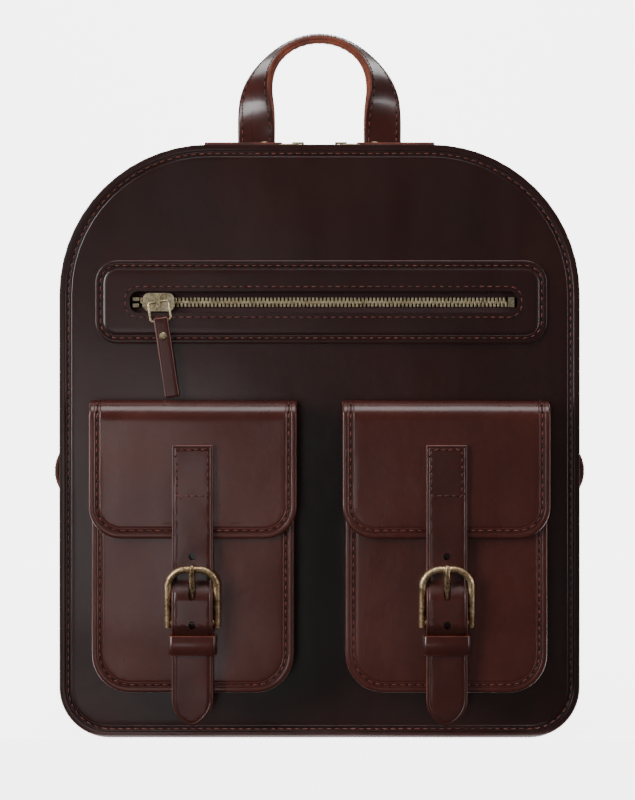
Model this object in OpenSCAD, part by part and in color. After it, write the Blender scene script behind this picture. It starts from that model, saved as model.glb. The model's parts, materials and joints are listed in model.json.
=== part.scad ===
// Leather backpack: an unlined bag with a round top, a zipped front slot, two buckled front pockets,
// a carrying handle and two shoulder straps. X runs across, the front faces -Y and Z is up.
// The origin is at the middle of the base. Everything is in millimetres.

/* [Body] */
// Width of the front panel
body_w = 330; // [270:1:400]
// Height of the front panel
body_h = 376; // [330:1:460]
// Depth from front panel to back panel
body_d = 104; // [85:1:130]
// Radius of the two upper corners
top_r = 95; // [70:1:110]
// Radius of the two lower corners
bottom_r = 32; // [20:1:40]
// Thickness of the panel leather
leather = 2.6; // [2:0.1:3.2]
// Thickness of the gusset leather
gusset_t = 2.2; // [1.6:0.1:2.8]
// Width of the seam flange behind each panel
flange_w = 12; // [8:1:16]

/* [Zips] */
// Height of the zip slot's middle on the front panel
slot_z = 276; // [262:1:290]
// Length of the slot in the zip patch
slot_w = 245; // [150:1:250]
// Height of the slot in the zip patch
slot_h = 13.6; // [13:0.1:16]
// Border of the zip patch round the slot
patch_border = 19.5; // [14:0.5:22]
// Thickness of the zip patch
patch_t = 1.8; // [1.2:0.1:2.4]
// Width of the closed zip chain
chain_w = 6.2; // [5:0.1:7]
// Thickness of the zip chain
chain_t = 2.6; // [2:0.1:3]
// Thickness of the zip tape
tape_t = 0.8; // [0.6:0.1:1]
// Width of one zip tape
tape_w = 13; // [11:0.5:14]
// Height at which the side zip tabs are centred
tab_z = 168; // [140:1:200]
// Depth of the lining pouch behind the front zip
pouch_d = 14; // [10:1:20]
// Height of the lining pouch
pouch_h = 120; // [80:1:150]

/* [Zip pulls] */
// Length of a leather pull
pull_len = 49; // [40:1:56]
// Width of a leather pull
pull_w = 9; // [7:0.5:10]
// Thickness of a folded leather pull
pull_t = 3.6; // [3.2:0.1:4]
// Sideways lean of the hanging front pull
pull_lean = 8.5; // [0:0.5:12]

/* [Pockets] */
// Width of a pocket
pocket_w = 125.5; // [100:0.5:130]
// Distance between the two pocket centres
pocket_pitch = 157.6; // [140:0.2:170]
// Height of a pocket's lower edge
pocket_z = 32; // [24:1:40]
// Height of the flap's top
flap_z = 213.5; // [190:0.5:218]
// Depth of a pocket
pocket_d = 30; // [24:1:40]
// Radius of the pocket's lower corners
pocket_r = 24; // [14:1:30]
// Width of a flap
flap_w = 129; // [104:0.5:134]
// Height of the flap's lower edge
flap_edge_z = 128; // [118:1:140]
// Radius of the flap's lower corners
flap_r = 20; // [10:1:26]
// Radius of the fold at the flap's top
fold_r = 12; // [8:1:14]

/* [Buckle straps] */
// Width of a flap strap
strap_w = 25.4; // [20:0.2:28]
// Thickness of a flap strap
strap_t = 2.8; // [2.2:0.1:3.2]
// Height of the strap's stitched top edge
strap_top_z = 186; // [176:1:192]
// Height of the strap's pointed tip
strap_tip_z = 12; // [8:1:20]
// Height of the middle strap hole
hole_z = 96; // [92:0.5:100]
// Distance between strap holes
hole_pitch = 21; // [18:0.5:24]
// Diameter of a strap hole
hole_d = 4.4; // [3.8:0.1:5]
// Wire diameter of a buckle frame
wire_d = 4.2; // [3.4:0.1:4.4]
// Height of a buckle frame from heel bar to arch
buckle_h = 33.4; // [30:0.2:36]

/* [Handle and shoulder straps] */
// Distance between the two ends of the handle
handle_span = 85; // [70:1:100]
// Height of the handle above the body
handle_rise = 78; // [60:1:90]
// Width of the handle strap
handle_w = 25; // [20:0.5:28]
// Thickness of the handle, two layers
handle_t = 5; // [4:0.5:6]
// Width of the upper shoulder strap
shoulder_w = 38; // [30:1:46]
// Width of the lower shoulder strap
lower_w = 22; // [18:1:24]

/* [Hidden] */
$fn = 48;

leather_colour = [0.16, 0.07, 0.06];
gusset_colour = [0.14, 0.06, 0.05];
flap_colour = [0.24, 0.12, 0.10];
strap_colour = [0.27, 0.13, 0.11];
brass_colour = [0.59, 0.47, 0.35];
tape_colour = [0.17, 0.03, 0.04];
lining_colour = [0.30, 0.18, 0.12];

// faces of the body, and the small gap kept between pieces that move past each other
front_y = -body_d / 2;
back_y = body_d / 2;
gap = 0.3;
sew = 0.01;

// zip chains: each chain's middle lies in the middle of its tape
chain_gap = 1.6;
chain_y = front_y + leather + tape_t / 2;
chain_inset = gusset_t + tape_t / 2;
plate_t = 1.4;
plate_w = 11.6;
plate_len = 20;
plate_low = chain_t / 2 + gap;
plate_high = plate_low + plate_t;
zip_slit = plate_w + 2 * gap;
bridge_t = 1;
crown_t = 2.6;
crown_in = 5;
patch_w = slot_w + 2 * patch_border + 2;
patch_h = slot_h + 2 * patch_border;
patch_r = 14;
slot_x = 2.5;
slot_r = 5;
eye_high = leather + tape_t / 2 + patch_t + gap + pull_t / 2;
ring_wire = 1.4;
ring_w = pull_w + 4;
ring_h = 12;
pull_rivet_drop = 10;
rivet_shank = 2.4;
rivet_head = 5;
crown_high = eye_high + ring_wire / 2 + gap + 1.2;
slider_x = slot_x - slot_w / 2 + 18;
main_slider_x = plate_len / 2 + 4;

// pocket: distances d are measured outwards from the pocket's front face
pocket_y = front_y - pocket_d;
pocket_h = flap_z - fold_r - pocket_z;
flap_low = gap;
flap_high = flap_low + leather;
hinge_y = front_y - 9.5;
bar_r = 1.7;
heel_z = hole_z - 20;
heel_d = 3.4;
chape_r = heel_d - gap;
strap_far = 7.8;
strap_near = 4;
arch_z = heel_z + buckle_h;
arch_d = 3.3 + strap_t + gap + wire_d / 2;
arm_x = strap_w / 2 + gap + wire_d / 2;
prong_r = 1.6;
prong_bend = [4.9, heel_z + 14];
prong_end = [13.6, arch_z + 1.6];
chape_low = 1.9;
chape_t = 1.8;
keeper_z = heel_z - 20;
keeper_h = 12;
keeper_t = 1.4;
snap_z = heel_z - 31;
snap_r = 7;
front_reach = body_d / 2 + pocket_d + prong_end[0] + prong_r;

// handle: the loop starts just above the back edge and turns about its foot
handle_y = back_y + gap + handle_t / 2;
handle_foot = body_h + 4;
handle_leg = 34;
handle_turn = 79;

// shoulder straps: each hangs from the yoke to a ring at the lower corner and bows outwards
shoulder_top = [82, body_h - 62];
shoulder_low = [118, 50];
shoulder_run = shoulder_top - shoulder_low;
shoulder_len = norm(shoulder_run);
shoulder_lean = atan2(shoulder_run[0], shoulder_run[1]);
shoulder_t = 5;
lower_t = 2.6;
shoulder_y = back_y + 6;
shoulder_bow = front_reach - shoulder_y - shoulder_t;
adjuster_s = 172;
adjuster_h = 16;
adjuster_t = 3;
yoke_w = 214;
yoke_h = 42;
end_h = 48;

// ---- shared shapes ----

// rounded sheet outline standing on the middle of its lower edge
module sheet(w, h, low_r, high_r) {
    translate([-w / 2 + low_r, 0]) square([w - 2 * low_r, h - high_r]);
    translate([-w / 2, low_r]) square([w, h - low_r - high_r]);
    translate([-w / 2 + high_r, low_r]) square([w - 2 * high_r, h - low_r]);
    for (side = [-1, 1]) {
        translate([side * (w / 2 - low_r), low_r]) circle(low_r);
        translate([side * (w / 2 - high_r), h - high_r]) circle(high_r);
    }
}

// outline of the body, drawn in by an inset
module body_outline(inset = 0) {
    translate([0, inset])
        sheet(body_w - 2 * inset, body_h - 2 * inset, bottom_r - inset, top_r - inset);
}

// stands an X-Z outline up between two depths
module upright(low_y, high_y) {
    translate([0, high_y, 0]) rotate([90, 0, 0]) linear_extrude(high_y - low_y) children();
}

// runs a Y-Z profile across between two X positions
module across(low_x, high_x) {
    translate([low_x, 0, 0]) rotate([90, 0, 90]) linear_extrude(high_x - low_x) children();
}

// band that follows the body outline between two insets and two depths
module rim(low_inset, high_inset, low_y, high_y) {
    upright(low_y, high_y) difference() {
        body_outline(low_inset);
        body_outline(high_inset);
    }
}

module below(z) {
    translate([-body_w, -body_d, -1]) cube([2 * body_w, 2 * body_d, z + 1]);
}

module above(z) {
    translate([-body_w, -body_d, z]) cube([2 * body_w, 2 * body_d, body_h]);
}

// places a piece on the left (-1) or the right (1) pocket
module at_pocket(side) {
    translate([side * pocket_pitch / 2, 0, 0]) children();
}

// mirrors a right-hand piece for the left side
module on_side(side) {
    if (side < 0) mirror([1, 0, 0]) children();
    else children();
}

// ---- body ----

module slot_cut(extra, low_y, high_y) {
    translate([slot_x, 0, slot_z - slot_h / 2 - extra])
        upright(low_y, high_y) sheet(slot_w + 2 * extra, slot_h + 2 * extra, slot_r, slot_r);
}

module front_panel() {
    color(leather_colour) difference() {
        upright(front_y, front_y + leather) body_outline();
        slot_cut(1, front_y - 1, front_y + leather + 1);
    }
}

module back_panel() {
    color(leather_colour) upright(back_y - leather, back_y) body_outline();
}

module base_gusset() {
    color(gusset_colour) intersection() {
        union() {
            rim(0, gusset_t, front_y + leather, back_y - leather);
            rim(0, flange_w, front_y + leather, front_y + leather + gusset_t);
            rim(0, flange_w, back_y - leather - gusset_t, back_y - leather);
        }
        below(tab_z);
    }
}

module zip_gusset_front() {
    color(gusset_colour) intersection() {
        union() {
            rim(0, gusset_t, front_y + leather, -zip_slit / 2);
            rim(0, flange_w, front_y + leather, front_y + leather + gusset_t);
        }
        above(tab_z);
    }
}

module zip_gusset_back() {
    color(gusset_colour) intersection() {
        union() {
            rim(0, gusset_t, zip_slit / 2, back_y - leather);
            rim(0, flange_w, back_y - leather - gusset_t, back_y - leather);
        }
        above(tab_z);
    }
}

// ---- main zip over the top ----

module main_tape(side) {
    low_y = side < 0 ? -chain_w / 2 - tape_w : chain_w / 2;
    color(tape_colour) intersection() {
        rim(gusset_t, gusset_t + tape_t, low_y, low_y + tape_w);
        above(tab_z);
    }
}

module main_teeth(side) {
    low_y = side < 0 ? -chain_w / 2 : chain_gap / 2;
    color(brass_colour) intersection() {
        rim(chain_inset - chain_t / 2, chain_inset + chain_t / 2, low_y, low_y + (chain_w - chain_gap) / 2);
        above(tab_z);
    }
}

module zip_end_tab(side) {
    bow = 6.8;
    half_h = 16.5;
    arc_r = (half_h * half_h + bow * bow) / (2 * bow);
    color(strap_colour) on_side(side) translate([body_w / 2, 0, tab_z]) intersection() {
        translate([bow - arc_r, 0, 0]) rotate([90, 0, 0]) difference() {
            cylinder(h = 26, r = arc_r, center = true, $fn = 96);
            cylinder(h = 27, r = arc_r - leather, center = true, $fn = 96);
        }
        translate([0, -14, -half_h]) cube([bow + 1, 28, 2 * half_h]);
    }
}

// slider of a zip that runs along X with its face towards -Y; the crown's eye opens along X or Z
module slider(eye_along_x) {
    upright(-plate_high, -plate_low)
        translate([0, -plate_w / 2]) sheet(plate_len, plate_w, 4, 4);
    upright(plate_low, plate_high)
        translate([0, -plate_w / 2]) sheet(plate_len, plate_w, 4, 4);
    translate([-plate_len / 2 + 2, -plate_low - sew, -bridge_t / 2])
        cube([5, 2 * plate_low + 2 * sew, bridge_t]);
    rotate([0, eye_along_x ? 90 : 0, 0]) difference() {
        translate([-crown_in / 2 - 1.4, -crown_high, -crown_t / 2])
            cube([crown_in + 2.8, crown_high - plate_high + sew, crown_t]);
        translate([-crown_in / 2, -crown_high + 1.2, -crown_t])
            cube([crown_in, crown_high - plate_high - 1.2 - 0.4, 2 * crown_t]);
    }
}

// wire loop hanging from the origin, its top bar and lower bar along X
module wire_ring() {
    half_w = ring_w / 2;
    bend_r = 1.8;
    for (x = [-half_w, half_w])
        translate([x, 0, -ring_h + bend_r]) cylinder(h = ring_h - 2 * bend_r, d = ring_wire, $fn = 24);
    for (z = [0, -ring_h])
        translate([-half_w + bend_r, 0, z]) rotate([0, 90, 0]) cylinder(h = ring_w - 2 * bend_r, d = ring_wire, $fn = 24);
    for (corner = [[1, -1, 0], [-1, -1, 90], [-1, 1, 180], [1, 1, 270]])
        translate([corner[0] * (half_w - bend_r), 0, -ring_h / 2 - corner[1] * (ring_h / 2 - bend_r)])
            rotate([90, -corner[2], 0]) rotate_extrude(angle = 90, $fn = 24)
                translate([bend_r, 0]) circle(d = ring_wire);
}

// folded leather tab hanging from a bar along X at the origin
module leather_pull() {
    eye_r = ring_wire / 2 + 0.08;
    difference() {
        union() {
            rotate([0, 90, 0]) cylinder(h = pull_w, d = pull_t, center = true);
            translate([-pull_w / 2, -pull_t / 2, -pull_len]) cube([pull_w, pull_t, pull_len]);
        }
        rotate([0, 90, 0]) cylinder(h = pull_w + 1, r = eye_r, center = true, $fn = 24);
        translate([0, 0, -pull_rivet_drop]) rotate([90, 0, 0]) cylinder(h = pull_t + 1, d = rivet_shank, center = true);
    }
}
module rivet() {
    translate([0, 0, -pull_rivet_drop]) rotate([90, 0, 0]) {
        cylinder(h = pull_t, d = rivet_shank, center = true);
        translate([0, 0, pull_t / 2]) cylinder(h = 1, d1 = rivet_head, d2 = rivet_head - 1.6);
    }
}

// turns a slider made for the front zip so that it lies on the top of the body
module on_top(side) {
    on_side(side) translate([main_slider_x, 0, body_h - chain_inset]) rotate([-90, 0, 0]) children();
}

module main_slider(side) {
    color(brass_colour) on_top(side) slider(false);
}

module main_pull(side) {
    on_top(side) translate([0, -eye_high, 0]) rotate([0, -90, 0]) {
        color(brass_colour) wire_ring();
        color(strap_colour) translate([0, 0, -ring_h]) leather_pull();
        color(brass_colour) translate([0, 0, -ring_h]) rivet();
    }
}

// ---- front zip ----

module zip_patch() {
    color(leather_colour) difference() {
        translate([slot_x - 1.5, 0, slot_z - patch_h / 2])
            upright(front_y - patch_t, front_y) sheet(patch_w, patch_h, patch_r, patch_r);
        slot_cut(0, front_y - patch_t - 1, front_y + 1);
    }
}

module front_tape(side) {
    low_z = side > 0 ? slot_z + chain_w / 2 : slot_z - chain_w / 2 - tape_w;
    color(tape_colour) translate([slot_x - slot_w / 2 - 8, front_y + leather, low_z])
        cube([slot_w + 16, tape_t, tape_w]);
}

module front_teeth(side) {
    low_z = side > 0 ? slot_z + chain_gap / 2 : slot_z - chain_w / 2;
    color(brass_colour) translate([slot_x - slot_w / 2 + 6, chain_y - chain_t / 2, low_z])
        cube([slot_w - 12, chain_t, (chain_w - chain_gap) / 2]);
}

module zip_stops() {
    color(brass_colour) {
        for (z = [slot_z + chain_gap / 2, slot_z - chain_w / 2])
            translate([slot_x - slot_w / 2 + 1.5, chain_y - chain_t / 2, z])
                cube([4, chain_t, (chain_w - chain_gap) / 2]);
        translate([slot_x + slot_w / 2 - 5.5, chain_y - chain_t / 2, slot_z - chain_w / 2])
            cube([4, chain_t, chain_w]);
    }
}

module front_slider() {
    color(brass_colour) translate([slider_x, chain_y, slot_z]) slider(true);
}

// places what hangs from the front slider's crown, leaning sideways
module at_front_eye() {
    translate([slider_x, chain_y - eye_high, slot_z]) rotate([0, -pull_lean, 0]) children();
}

module pull_ring() {
    color(brass_colour) at_front_eye() wire_ring();
}

module pull_tab() {
    color(strap_colour) at_front_eye() translate([0, 0, -ring_h]) leather_pull();
}

module pull_rivet() {
    color(brass_colour) at_front_eye() translate([0, 0, -ring_h]) rivet();
}

module zip_pouch() {
    wall = 0.8;
    low_y = front_y + leather + tape_t;
    pouch_w = slot_w + 22;
    low_z = slot_z + 20 - pouch_h;
    color(lining_colour) difference() {
        translate([slot_x, 0, low_z]) upright(low_y, low_y + pouch_d) sheet(pouch_w, pouch_h, 8, 4);
        translate([slot_x, 0, low_z + wall])
            upright(low_y + wall, low_y + pouch_d - wall) sheet(pouch_w - 2 * wall, pouch_h - 2 * wall, 7.2, 3.2);
        slot_cut(1, low_y - 1, low_y + 2);
    }
}

// ---- pockets ----

module pocket_panel(side) {
    color(flap_colour) at_pocket(side) translate([0, 0, pocket_z])
        upright(pocket_y, pocket_y + leather) sheet(pocket_w, pocket_h, pocket_r, 3);
}

module pocket_gusset(side) {
    color(gusset_colour) at_pocket(side) translate([0, 0, pocket_z])
        upright(pocket_y + leather, front_y) difference() {
            sheet(pocket_w, pocket_h, pocket_r, 3);
            translate([0, gusset_t])
                sheet(pocket_w - 2 * gusset_t, pocket_h, pocket_r - gusset_t, 1);
        }
}

module snap_socket(side) {
    color(brass_colour) at_pocket(side) translate([0, pocket_y, snap_z])
        rotate([90, 0, 0]) cylinder(h = 0.7, r = snap_r);
}

module flap_lips() {
    color(flap_colour) for (side = [-1, 1])
        at_pocket(side) translate([-flap_w / 2, hinge_y + gap, flap_z - leather])
            cube([flap_w, front_y - hinge_y - gap, leather]);
}

module flap(side) {
    low_y = pocket_y - flap_low;
    color(flap_colour) at_pocket(side) intersection() {
        across(-flap_w / 2, flap_w / 2) {
            translate([low_y - leather, flap_edge_z]) square([leather, flap_z - fold_r - flap_edge_z]);
            translate([low_y - leather + fold_r, flap_z - leather])
                square([hinge_y - low_y + leather - fold_r, leather]);
            translate([low_y - leather + fold_r, flap_z - fold_r]) intersection() {
                difference() {
                    circle(fold_r);
                    circle(fold_r - leather);
                }
                translate([-fold_r, 0]) square(fold_r);
            }
        }
        translate([0, 0, flap_edge_z])
            upright(2 * pocket_y, 0) sheet(flap_w, flap_z - flap_edge_z + 10, flap_r, 1);
    }
}

// smooth step from 0 to 1 between two heights
function ramp(z, low, high) = z <= low ? 0 : z >= high ? 1 : (1 - cos(180 * (z - low) / (high - low))) / 2;

// distance of the strap's back from the pocket face, bulging out over the heel bar
function strap_back(z) = strap_near
    + (strap_far - strap_near) * ramp(z, keeper_z + keeper_h, heel_z - 2)
    - (strap_far - flap_high) * ramp(z, hole_z - 6, hole_z + 7);

module flap_strap(side) {
    steps = 58;
    levels = [for (i = [0 : steps]) strap_tip_z + (strap_top_z - strap_tip_z) * i / steps];
    back = [for (z = levels) [pocket_y - strap_back(z), z]];
    front = [for (i = [steps : -1 : 0]) [pocket_y - strap_back(levels[i]) - strap_t, levels[i]]];
    tip_h = 17;
    tip_r = (strap_w * strap_w / 4 + tip_h * tip_h) / strap_w;
    color(strap_colour) at_pocket(side) difference() {
        intersection() {
            across(-strap_w / 2, strap_w / 2) polygon(concat(back, front));
            upright(2 * pocket_y, 0) {
                translate([-strap_w / 2, strap_tip_z + tip_h])
                    square([strap_w, strap_top_z - strap_tip_z - tip_h]);
                intersection() {
                    translate([strap_w / 2 - tip_r, strap_tip_z + tip_h]) circle(tip_r, $fn = 96);
                    translate([tip_r - strap_w / 2, strap_tip_z + tip_h]) circle(tip_r, $fn = 96);
                    translate([-strap_w / 2, strap_tip_z - 1]) square([strap_w, tip_h + 1 + sew]);
                }
            }
        }
        for (z = [hole_z - hole_pitch, hole_z + hole_pitch])
            translate([0, 0, z]) rotate([90, 0, 0]) cylinder(h = 4 * body_d, d = hole_d, center = true);
        translate([-hole_d / 2, 2 * pocket_y, hole_z - 9]) cube([hole_d, -2 * pocket_y, 16]);
    }
}

module chape(side) {
    slot_half = prong_r + 1;
    color(strap_colour) at_pocket(side) difference() {
        union() {
            translate([-strap_w / 2 + 1.7, pocket_y - chape_low - chape_t, snap_z - 11])
                cube([strap_w - 3.4, chape_t, heel_z - snap_z + 11]);
            translate([0, pocket_y - heel_d, heel_z]) rotate([0, 90, 0])
                cylinder(h = strap_w - 3.4, r = chape_r, center = true);
        }
        translate([0, pocket_y - heel_d, heel_z]) rotate([0, 90, 0])
            cylinder(h = strap_w, r = bar_r + 0.03, center = true);
        translate([-slot_half, pocket_y - heel_d - chape_r - 1, heel_z - chape_r - 1])
            cube([2 * slot_half, 2 * chape_r + 2, 2 * chape_r + 2]);
    }
}

module buckle_frame(side) {
    bend_r = 11;
    tilt = asin((arch_d - heel_d) / buckle_h);
    color(brass_colour) at_pocket(side) translate([0, pocket_y - heel_d, heel_z]) rotate([tilt, 0, 0]) {
        rotate([0, 90, 0]) cylinder(h = 2 * arm_x, r = bar_r, center = true);
        for (x = [-arm_x, arm_x])
            translate([x, 0, -3]) cylinder(h = buckle_h + 3 - bend_r, d = wire_d);
        translate([0, 0, buckle_h]) rotate([0, 90, 0])
            cylinder(h = 2 * (arm_x - bend_r), d = wire_d, center = true);
        for (corner = [[1, 0], [-1, 90]])
            translate([corner[0] * (arm_x - bend_r), 0, buckle_h - bend_r])
                rotate([90, -corner[1], 0]) rotate_extrude(angle = 90) translate([bend_r, 0]) circle(d = wire_d);
    }
}

// the prong's middle line is bent once, to pass behind the strap and then through its hole
module prong(side) {
    start = [pocket_y - heel_d - 0.9, heel_z + 2.2];
    bend = [pocket_y - prong_bend[0], prong_bend[1]];
    end = [pocket_y - prong_end[0], prong_end[1]];
    low_run = (bend - start) / norm(bend - start);
    high_run = (end - bend) / norm(end - bend);
    low_side = [-low_run[1], low_run[0]];
    high_side = [-high_run[1], high_run[0]];
    mitre = (low_side + high_side) / (1 + low_side * high_side);
    outline = [start + prong_r * low_side, bend + prong_r * mitre, end + prong_r * high_side,
        end - prong_r * high_side, bend - prong_r * mitre, start - prong_r * low_side];
    color(brass_colour) at_pocket(side) across(-prong_r, prong_r) difference() {
        union() {
            translate([pocket_y - heel_d, heel_z]) circle(3.2);
            polygon(outline);
        }
        translate([pocket_y - heel_d, heel_z]) circle(bar_r + 0.06);
    }
}

module keeper(side) {
    half_w = strap_w / 2 + 0.5;
    high = strap_near + strap_t + 0.2;
    color(strap_colour) at_pocket(side) translate([0, pocket_y, keeper_z]) difference() {
        translate([-half_w - keeper_t, -high - keeper_t, 0])
            cube([2 * (half_w + keeper_t), high + keeper_t - gap, keeper_h]);
        translate([-half_w, -high, -1])
            cube([2 * half_w, high - gap - keeper_t, keeper_h + 2]);
    }
}

module snap_stud(side) {
    color(brass_colour) at_pocket(side) translate([0, pocket_y - 0.9, snap_z])
        rotate([90, 0, 0]) cylinder(h = chape_low - 0.9, r = snap_r);
}

// ---- carrying handle ----

module handle_ends() {
    color(strap_colour) for (x = [-handle_span / 2, handle_span / 2])
        translate([x - handle_w / 2, back_y, body_h + 0.5 - end_h]) cube([handle_w, handle_t, end_h]);
}

module shoulder_ends() {
    color(strap_colour) for (side = [-1, 1]) at_shoulder(side)
        translate([-shoulder_w / 2, back_y, 0]) cube([shoulder_w, shoulder_t, yoke_h - 6]);
}

// middle line of the handle loop: two straight legs joined by a half ellipse
function loop_point(u) = let (rise = handle_rise - handle_leg, a = 180 * u)
    [-handle_span / 2 * cos(a), rise * sin(a)];
function loop_path(n) = concat([[-handle_span / 2, -handle_leg], [-handle_span / 2, -handle_leg / 2]],
    [for (i = [0 : n]) loop_point(i / n)],
    [[handle_span / 2, -handle_leg / 2], [handle_span / 2, -handle_leg]]);

module handle() {
    n = 32;
    path = loop_path(n);
    count = len(path);
    ring = [for (i = [0 : count - 1])
        let (before = path[max(i - 1, 0)], after = path[min(i + 1, count - 1)],
            run = (after - before) / norm(after - before),
            out = [-run[1], run[0]],
            turn = handle_turn * ramp(1 - abs(2 * i / (count - 1) - 1), 0.1, 1),
            wide = [out[0] * cos(turn), sin(turn), out[1] * cos(turn)] * handle_w / 2,
            thick = [-out[0] * sin(turn), cos(turn), -out[1] * sin(turn)] * handle_t / 2,
            mid = [path[i][0], handle_y, path[i][1] + handle_foot + handle_leg])
        each [mid - wide - thick, mid + wide - thick, mid + wide + thick, mid - wide + thick]];
    sides = [for (i = [0 : count - 2]) for (k = [0 : 3])
        let (a = 4 * i + k, b = 4 * i + (k + 1) % 4)
        each [[a, b, b + 4], [a, b + 4, a + 4]]];
    last = 4 * (count - 1);
    caps = [[0, 3, 2], [0, 2, 1], [last, last + 1, last + 2], [last, last + 2, last + 3]];
    color(strap_colour) polyhedron(ring, concat(sides, caps));
}

module back_yoke() {
    color(leather_colour) translate([0, 0, shoulder_top[1] + 2]) upright(back_y + handle_t, back_y + handle_t + leather)
        sheet(yoke_w, yoke_h, 12, 12);
}

// ---- shoulder straps ----

// outward position of a strap at a distance down its run
function bow_y(s) = shoulder_y + shoulder_bow * pow(sin(180 * s / shoulder_len), 0.8);

module shoulder_band(from, to, w, t, lift) {
    steps = 24;
    runs = [for (i = [0 : steps]) from + (to - from) * i / steps];
    inner = [for (s = runs) [bow_y(s) + lift, -s]];
    outer = [for (i = [steps : -1 : 0]) [bow_y(runs[i]) + lift + t, -runs[i]]];
    across(-w / 2, w / 2) polygon(concat(inner, outer));
}

// hangs a piece from a strap's top point, leaning along the strap
module at_shoulder(side) {
    on_side(side) translate([shoulder_top[0], 0, shoulder_top[1]]) rotate([0, shoulder_lean, 0]) children();
}

module shoulder_upper(side) {
    color(strap_colour) at_shoulder(side) shoulder_band(3, adjuster_s - adjuster_h / 2 - 1, shoulder_w, shoulder_t, 0);
}

module shoulder_lower(side) {
    color(strap_colour) at_shoulder(side)
        shoulder_band(adjuster_s + adjuster_h / 2 + 1, shoulder_len - 8, lower_w, lower_t, (shoulder_t - lower_t) / 2);
}

module shoulder_adjuster(side) {
    inner_w = lower_w + 4;
    slope = (bow_y(adjuster_s + 1) - bow_y(adjuster_s - 1)) / 2;
    color(brass_colour) at_shoulder(side)
        translate([0, bow_y(adjuster_s) + shoulder_t / 2, -adjuster_s]) rotate([atan(slope), 0, 0])
            upright(-adjuster_t / 2, adjuster_t / 2) difference() {
                translate([0, -adjuster_h / 2]) sheet(inner_w + 8, adjuster_h, 3, 3);
                for (z = [-adjuster_h / 2 + 3, 1])
                    translate([0, z]) sheet(inner_w, adjuster_h / 2 - 4, 1, 1);
            }
}

module shoulder_ring(side) {
    wire = 3;
    half_w = lower_w / 2 + 3;
    color(brass_colour) at_shoulder(side) translate([0, shoulder_y + 1, -shoulder_len]) {
        for (x = [-half_w, half_w]) translate([x, 0, -6]) cylinder(h = 12, d = wire);
        for (z = [-6, 6]) translate([-half_w - wire / 2, 0, z]) rotate([0, 90, 0])
            cylinder(h = 2 * half_w + wire, d = wire);
    }
}

module ring_tabs() {
    color(strap_colour) for (side = [-1, 1]) at_shoulder(side)
        translate([-lower_w / 2, back_y, -shoulder_len - 28]) cube([lower_w, 3.6, 30]);
}

front_panel();
back_panel();
base_gusset();
zip_gusset_front();
zip_gusset_back();
main_tape(-1);  // main_tape_front
main_tape(1);  // main_tape_back
main_teeth(-1);  // main_teeth_front
main_teeth(1);  // main_teeth_back
main_slider(-1);  // main_slider_left
main_slider(1);  // main_slider_right
main_pull(-1);  // main_pull_left
main_pull(1);  // main_pull_right
zip_end_tab(-1);  // zip_end_tab_left
zip_end_tab(1);  // zip_end_tab_right
zip_patch();
front_tape(1);  // front_tape_upper
front_tape(-1);  // front_tape_lower
front_teeth(1);  // front_teeth_upper
front_teeth(-1);  // front_teeth_lower
zip_stops();
front_slider();
pull_ring();
pull_tab();
pull_rivet();
zip_pouch();
pocket_panel(-1);  // pocket_panel_left
pocket_panel(1);  // pocket_panel_right
pocket_gusset(-1);  // pocket_gusset_left
pocket_gusset(1);  // pocket_gusset_right
snap_socket(-1);  // snap_socket_left
snap_socket(1);  // snap_socket_right
flap_lips();
flap(-1);  // flap_left
flap(1);  // flap_right
flap_strap(-1);  // flap_strap_left
flap_strap(1);  // flap_strap_right
chape(-1);  // chape_left
chape(1);  // chape_right
buckle_frame(-1);  // buckle_frame_left
buckle_frame(1);  // buckle_frame_right
prong(-1);  // prong_left
prong(1);  // prong_right
keeper(-1);  // keeper_left
keeper(1);  // keeper_right
snap_stud(-1);  // snap_stud_left
snap_stud(1);  // snap_stud_right
handle_ends();
handle();
shoulder_ends();
back_yoke();
shoulder_upper(-1);  // shoulder_upper_left
shoulder_upper(1);  // shoulder_upper_right
shoulder_lower(-1);  // shoulder_lower_left
shoulder_lower(1);  // shoulder_lower_right
shoulder_adjuster(-1);  // shoulder_adjuster_left
shoulder_adjuster(1);  // shoulder_adjuster_right
shoulder_ring(-1);  // shoulder_ring_left
shoulder_ring(1);  // shoulder_ring_right
ring_tabs();
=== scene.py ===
import json
import math

import bmesh
import bpy
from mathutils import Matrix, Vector, noise


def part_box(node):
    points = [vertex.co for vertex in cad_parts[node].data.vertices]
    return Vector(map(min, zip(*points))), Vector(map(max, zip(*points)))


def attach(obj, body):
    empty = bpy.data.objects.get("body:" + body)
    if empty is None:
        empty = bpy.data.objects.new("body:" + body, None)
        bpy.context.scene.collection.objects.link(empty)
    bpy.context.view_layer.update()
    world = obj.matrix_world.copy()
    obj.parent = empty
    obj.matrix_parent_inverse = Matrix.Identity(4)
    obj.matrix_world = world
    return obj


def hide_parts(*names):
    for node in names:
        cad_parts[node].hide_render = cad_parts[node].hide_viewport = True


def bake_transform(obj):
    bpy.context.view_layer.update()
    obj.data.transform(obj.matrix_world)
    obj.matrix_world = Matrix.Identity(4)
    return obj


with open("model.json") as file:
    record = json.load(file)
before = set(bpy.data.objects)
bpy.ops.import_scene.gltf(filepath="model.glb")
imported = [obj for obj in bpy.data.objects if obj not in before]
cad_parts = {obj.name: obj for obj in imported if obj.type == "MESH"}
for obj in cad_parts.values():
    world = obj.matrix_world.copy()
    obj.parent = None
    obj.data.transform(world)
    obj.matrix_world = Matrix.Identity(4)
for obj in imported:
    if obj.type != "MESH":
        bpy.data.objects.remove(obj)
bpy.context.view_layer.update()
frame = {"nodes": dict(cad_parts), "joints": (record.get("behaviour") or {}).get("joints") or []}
nodes = frame["nodes"]
MM = 0.001

# ---------------------------------------------------------------------------------------------
# Studio: a backlit white table that curves up behind the bag, soft light from both sides and above,
# and a long lens looking straight at the front, a little above the middle of the body.

scene = bpy.context.scene


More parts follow.
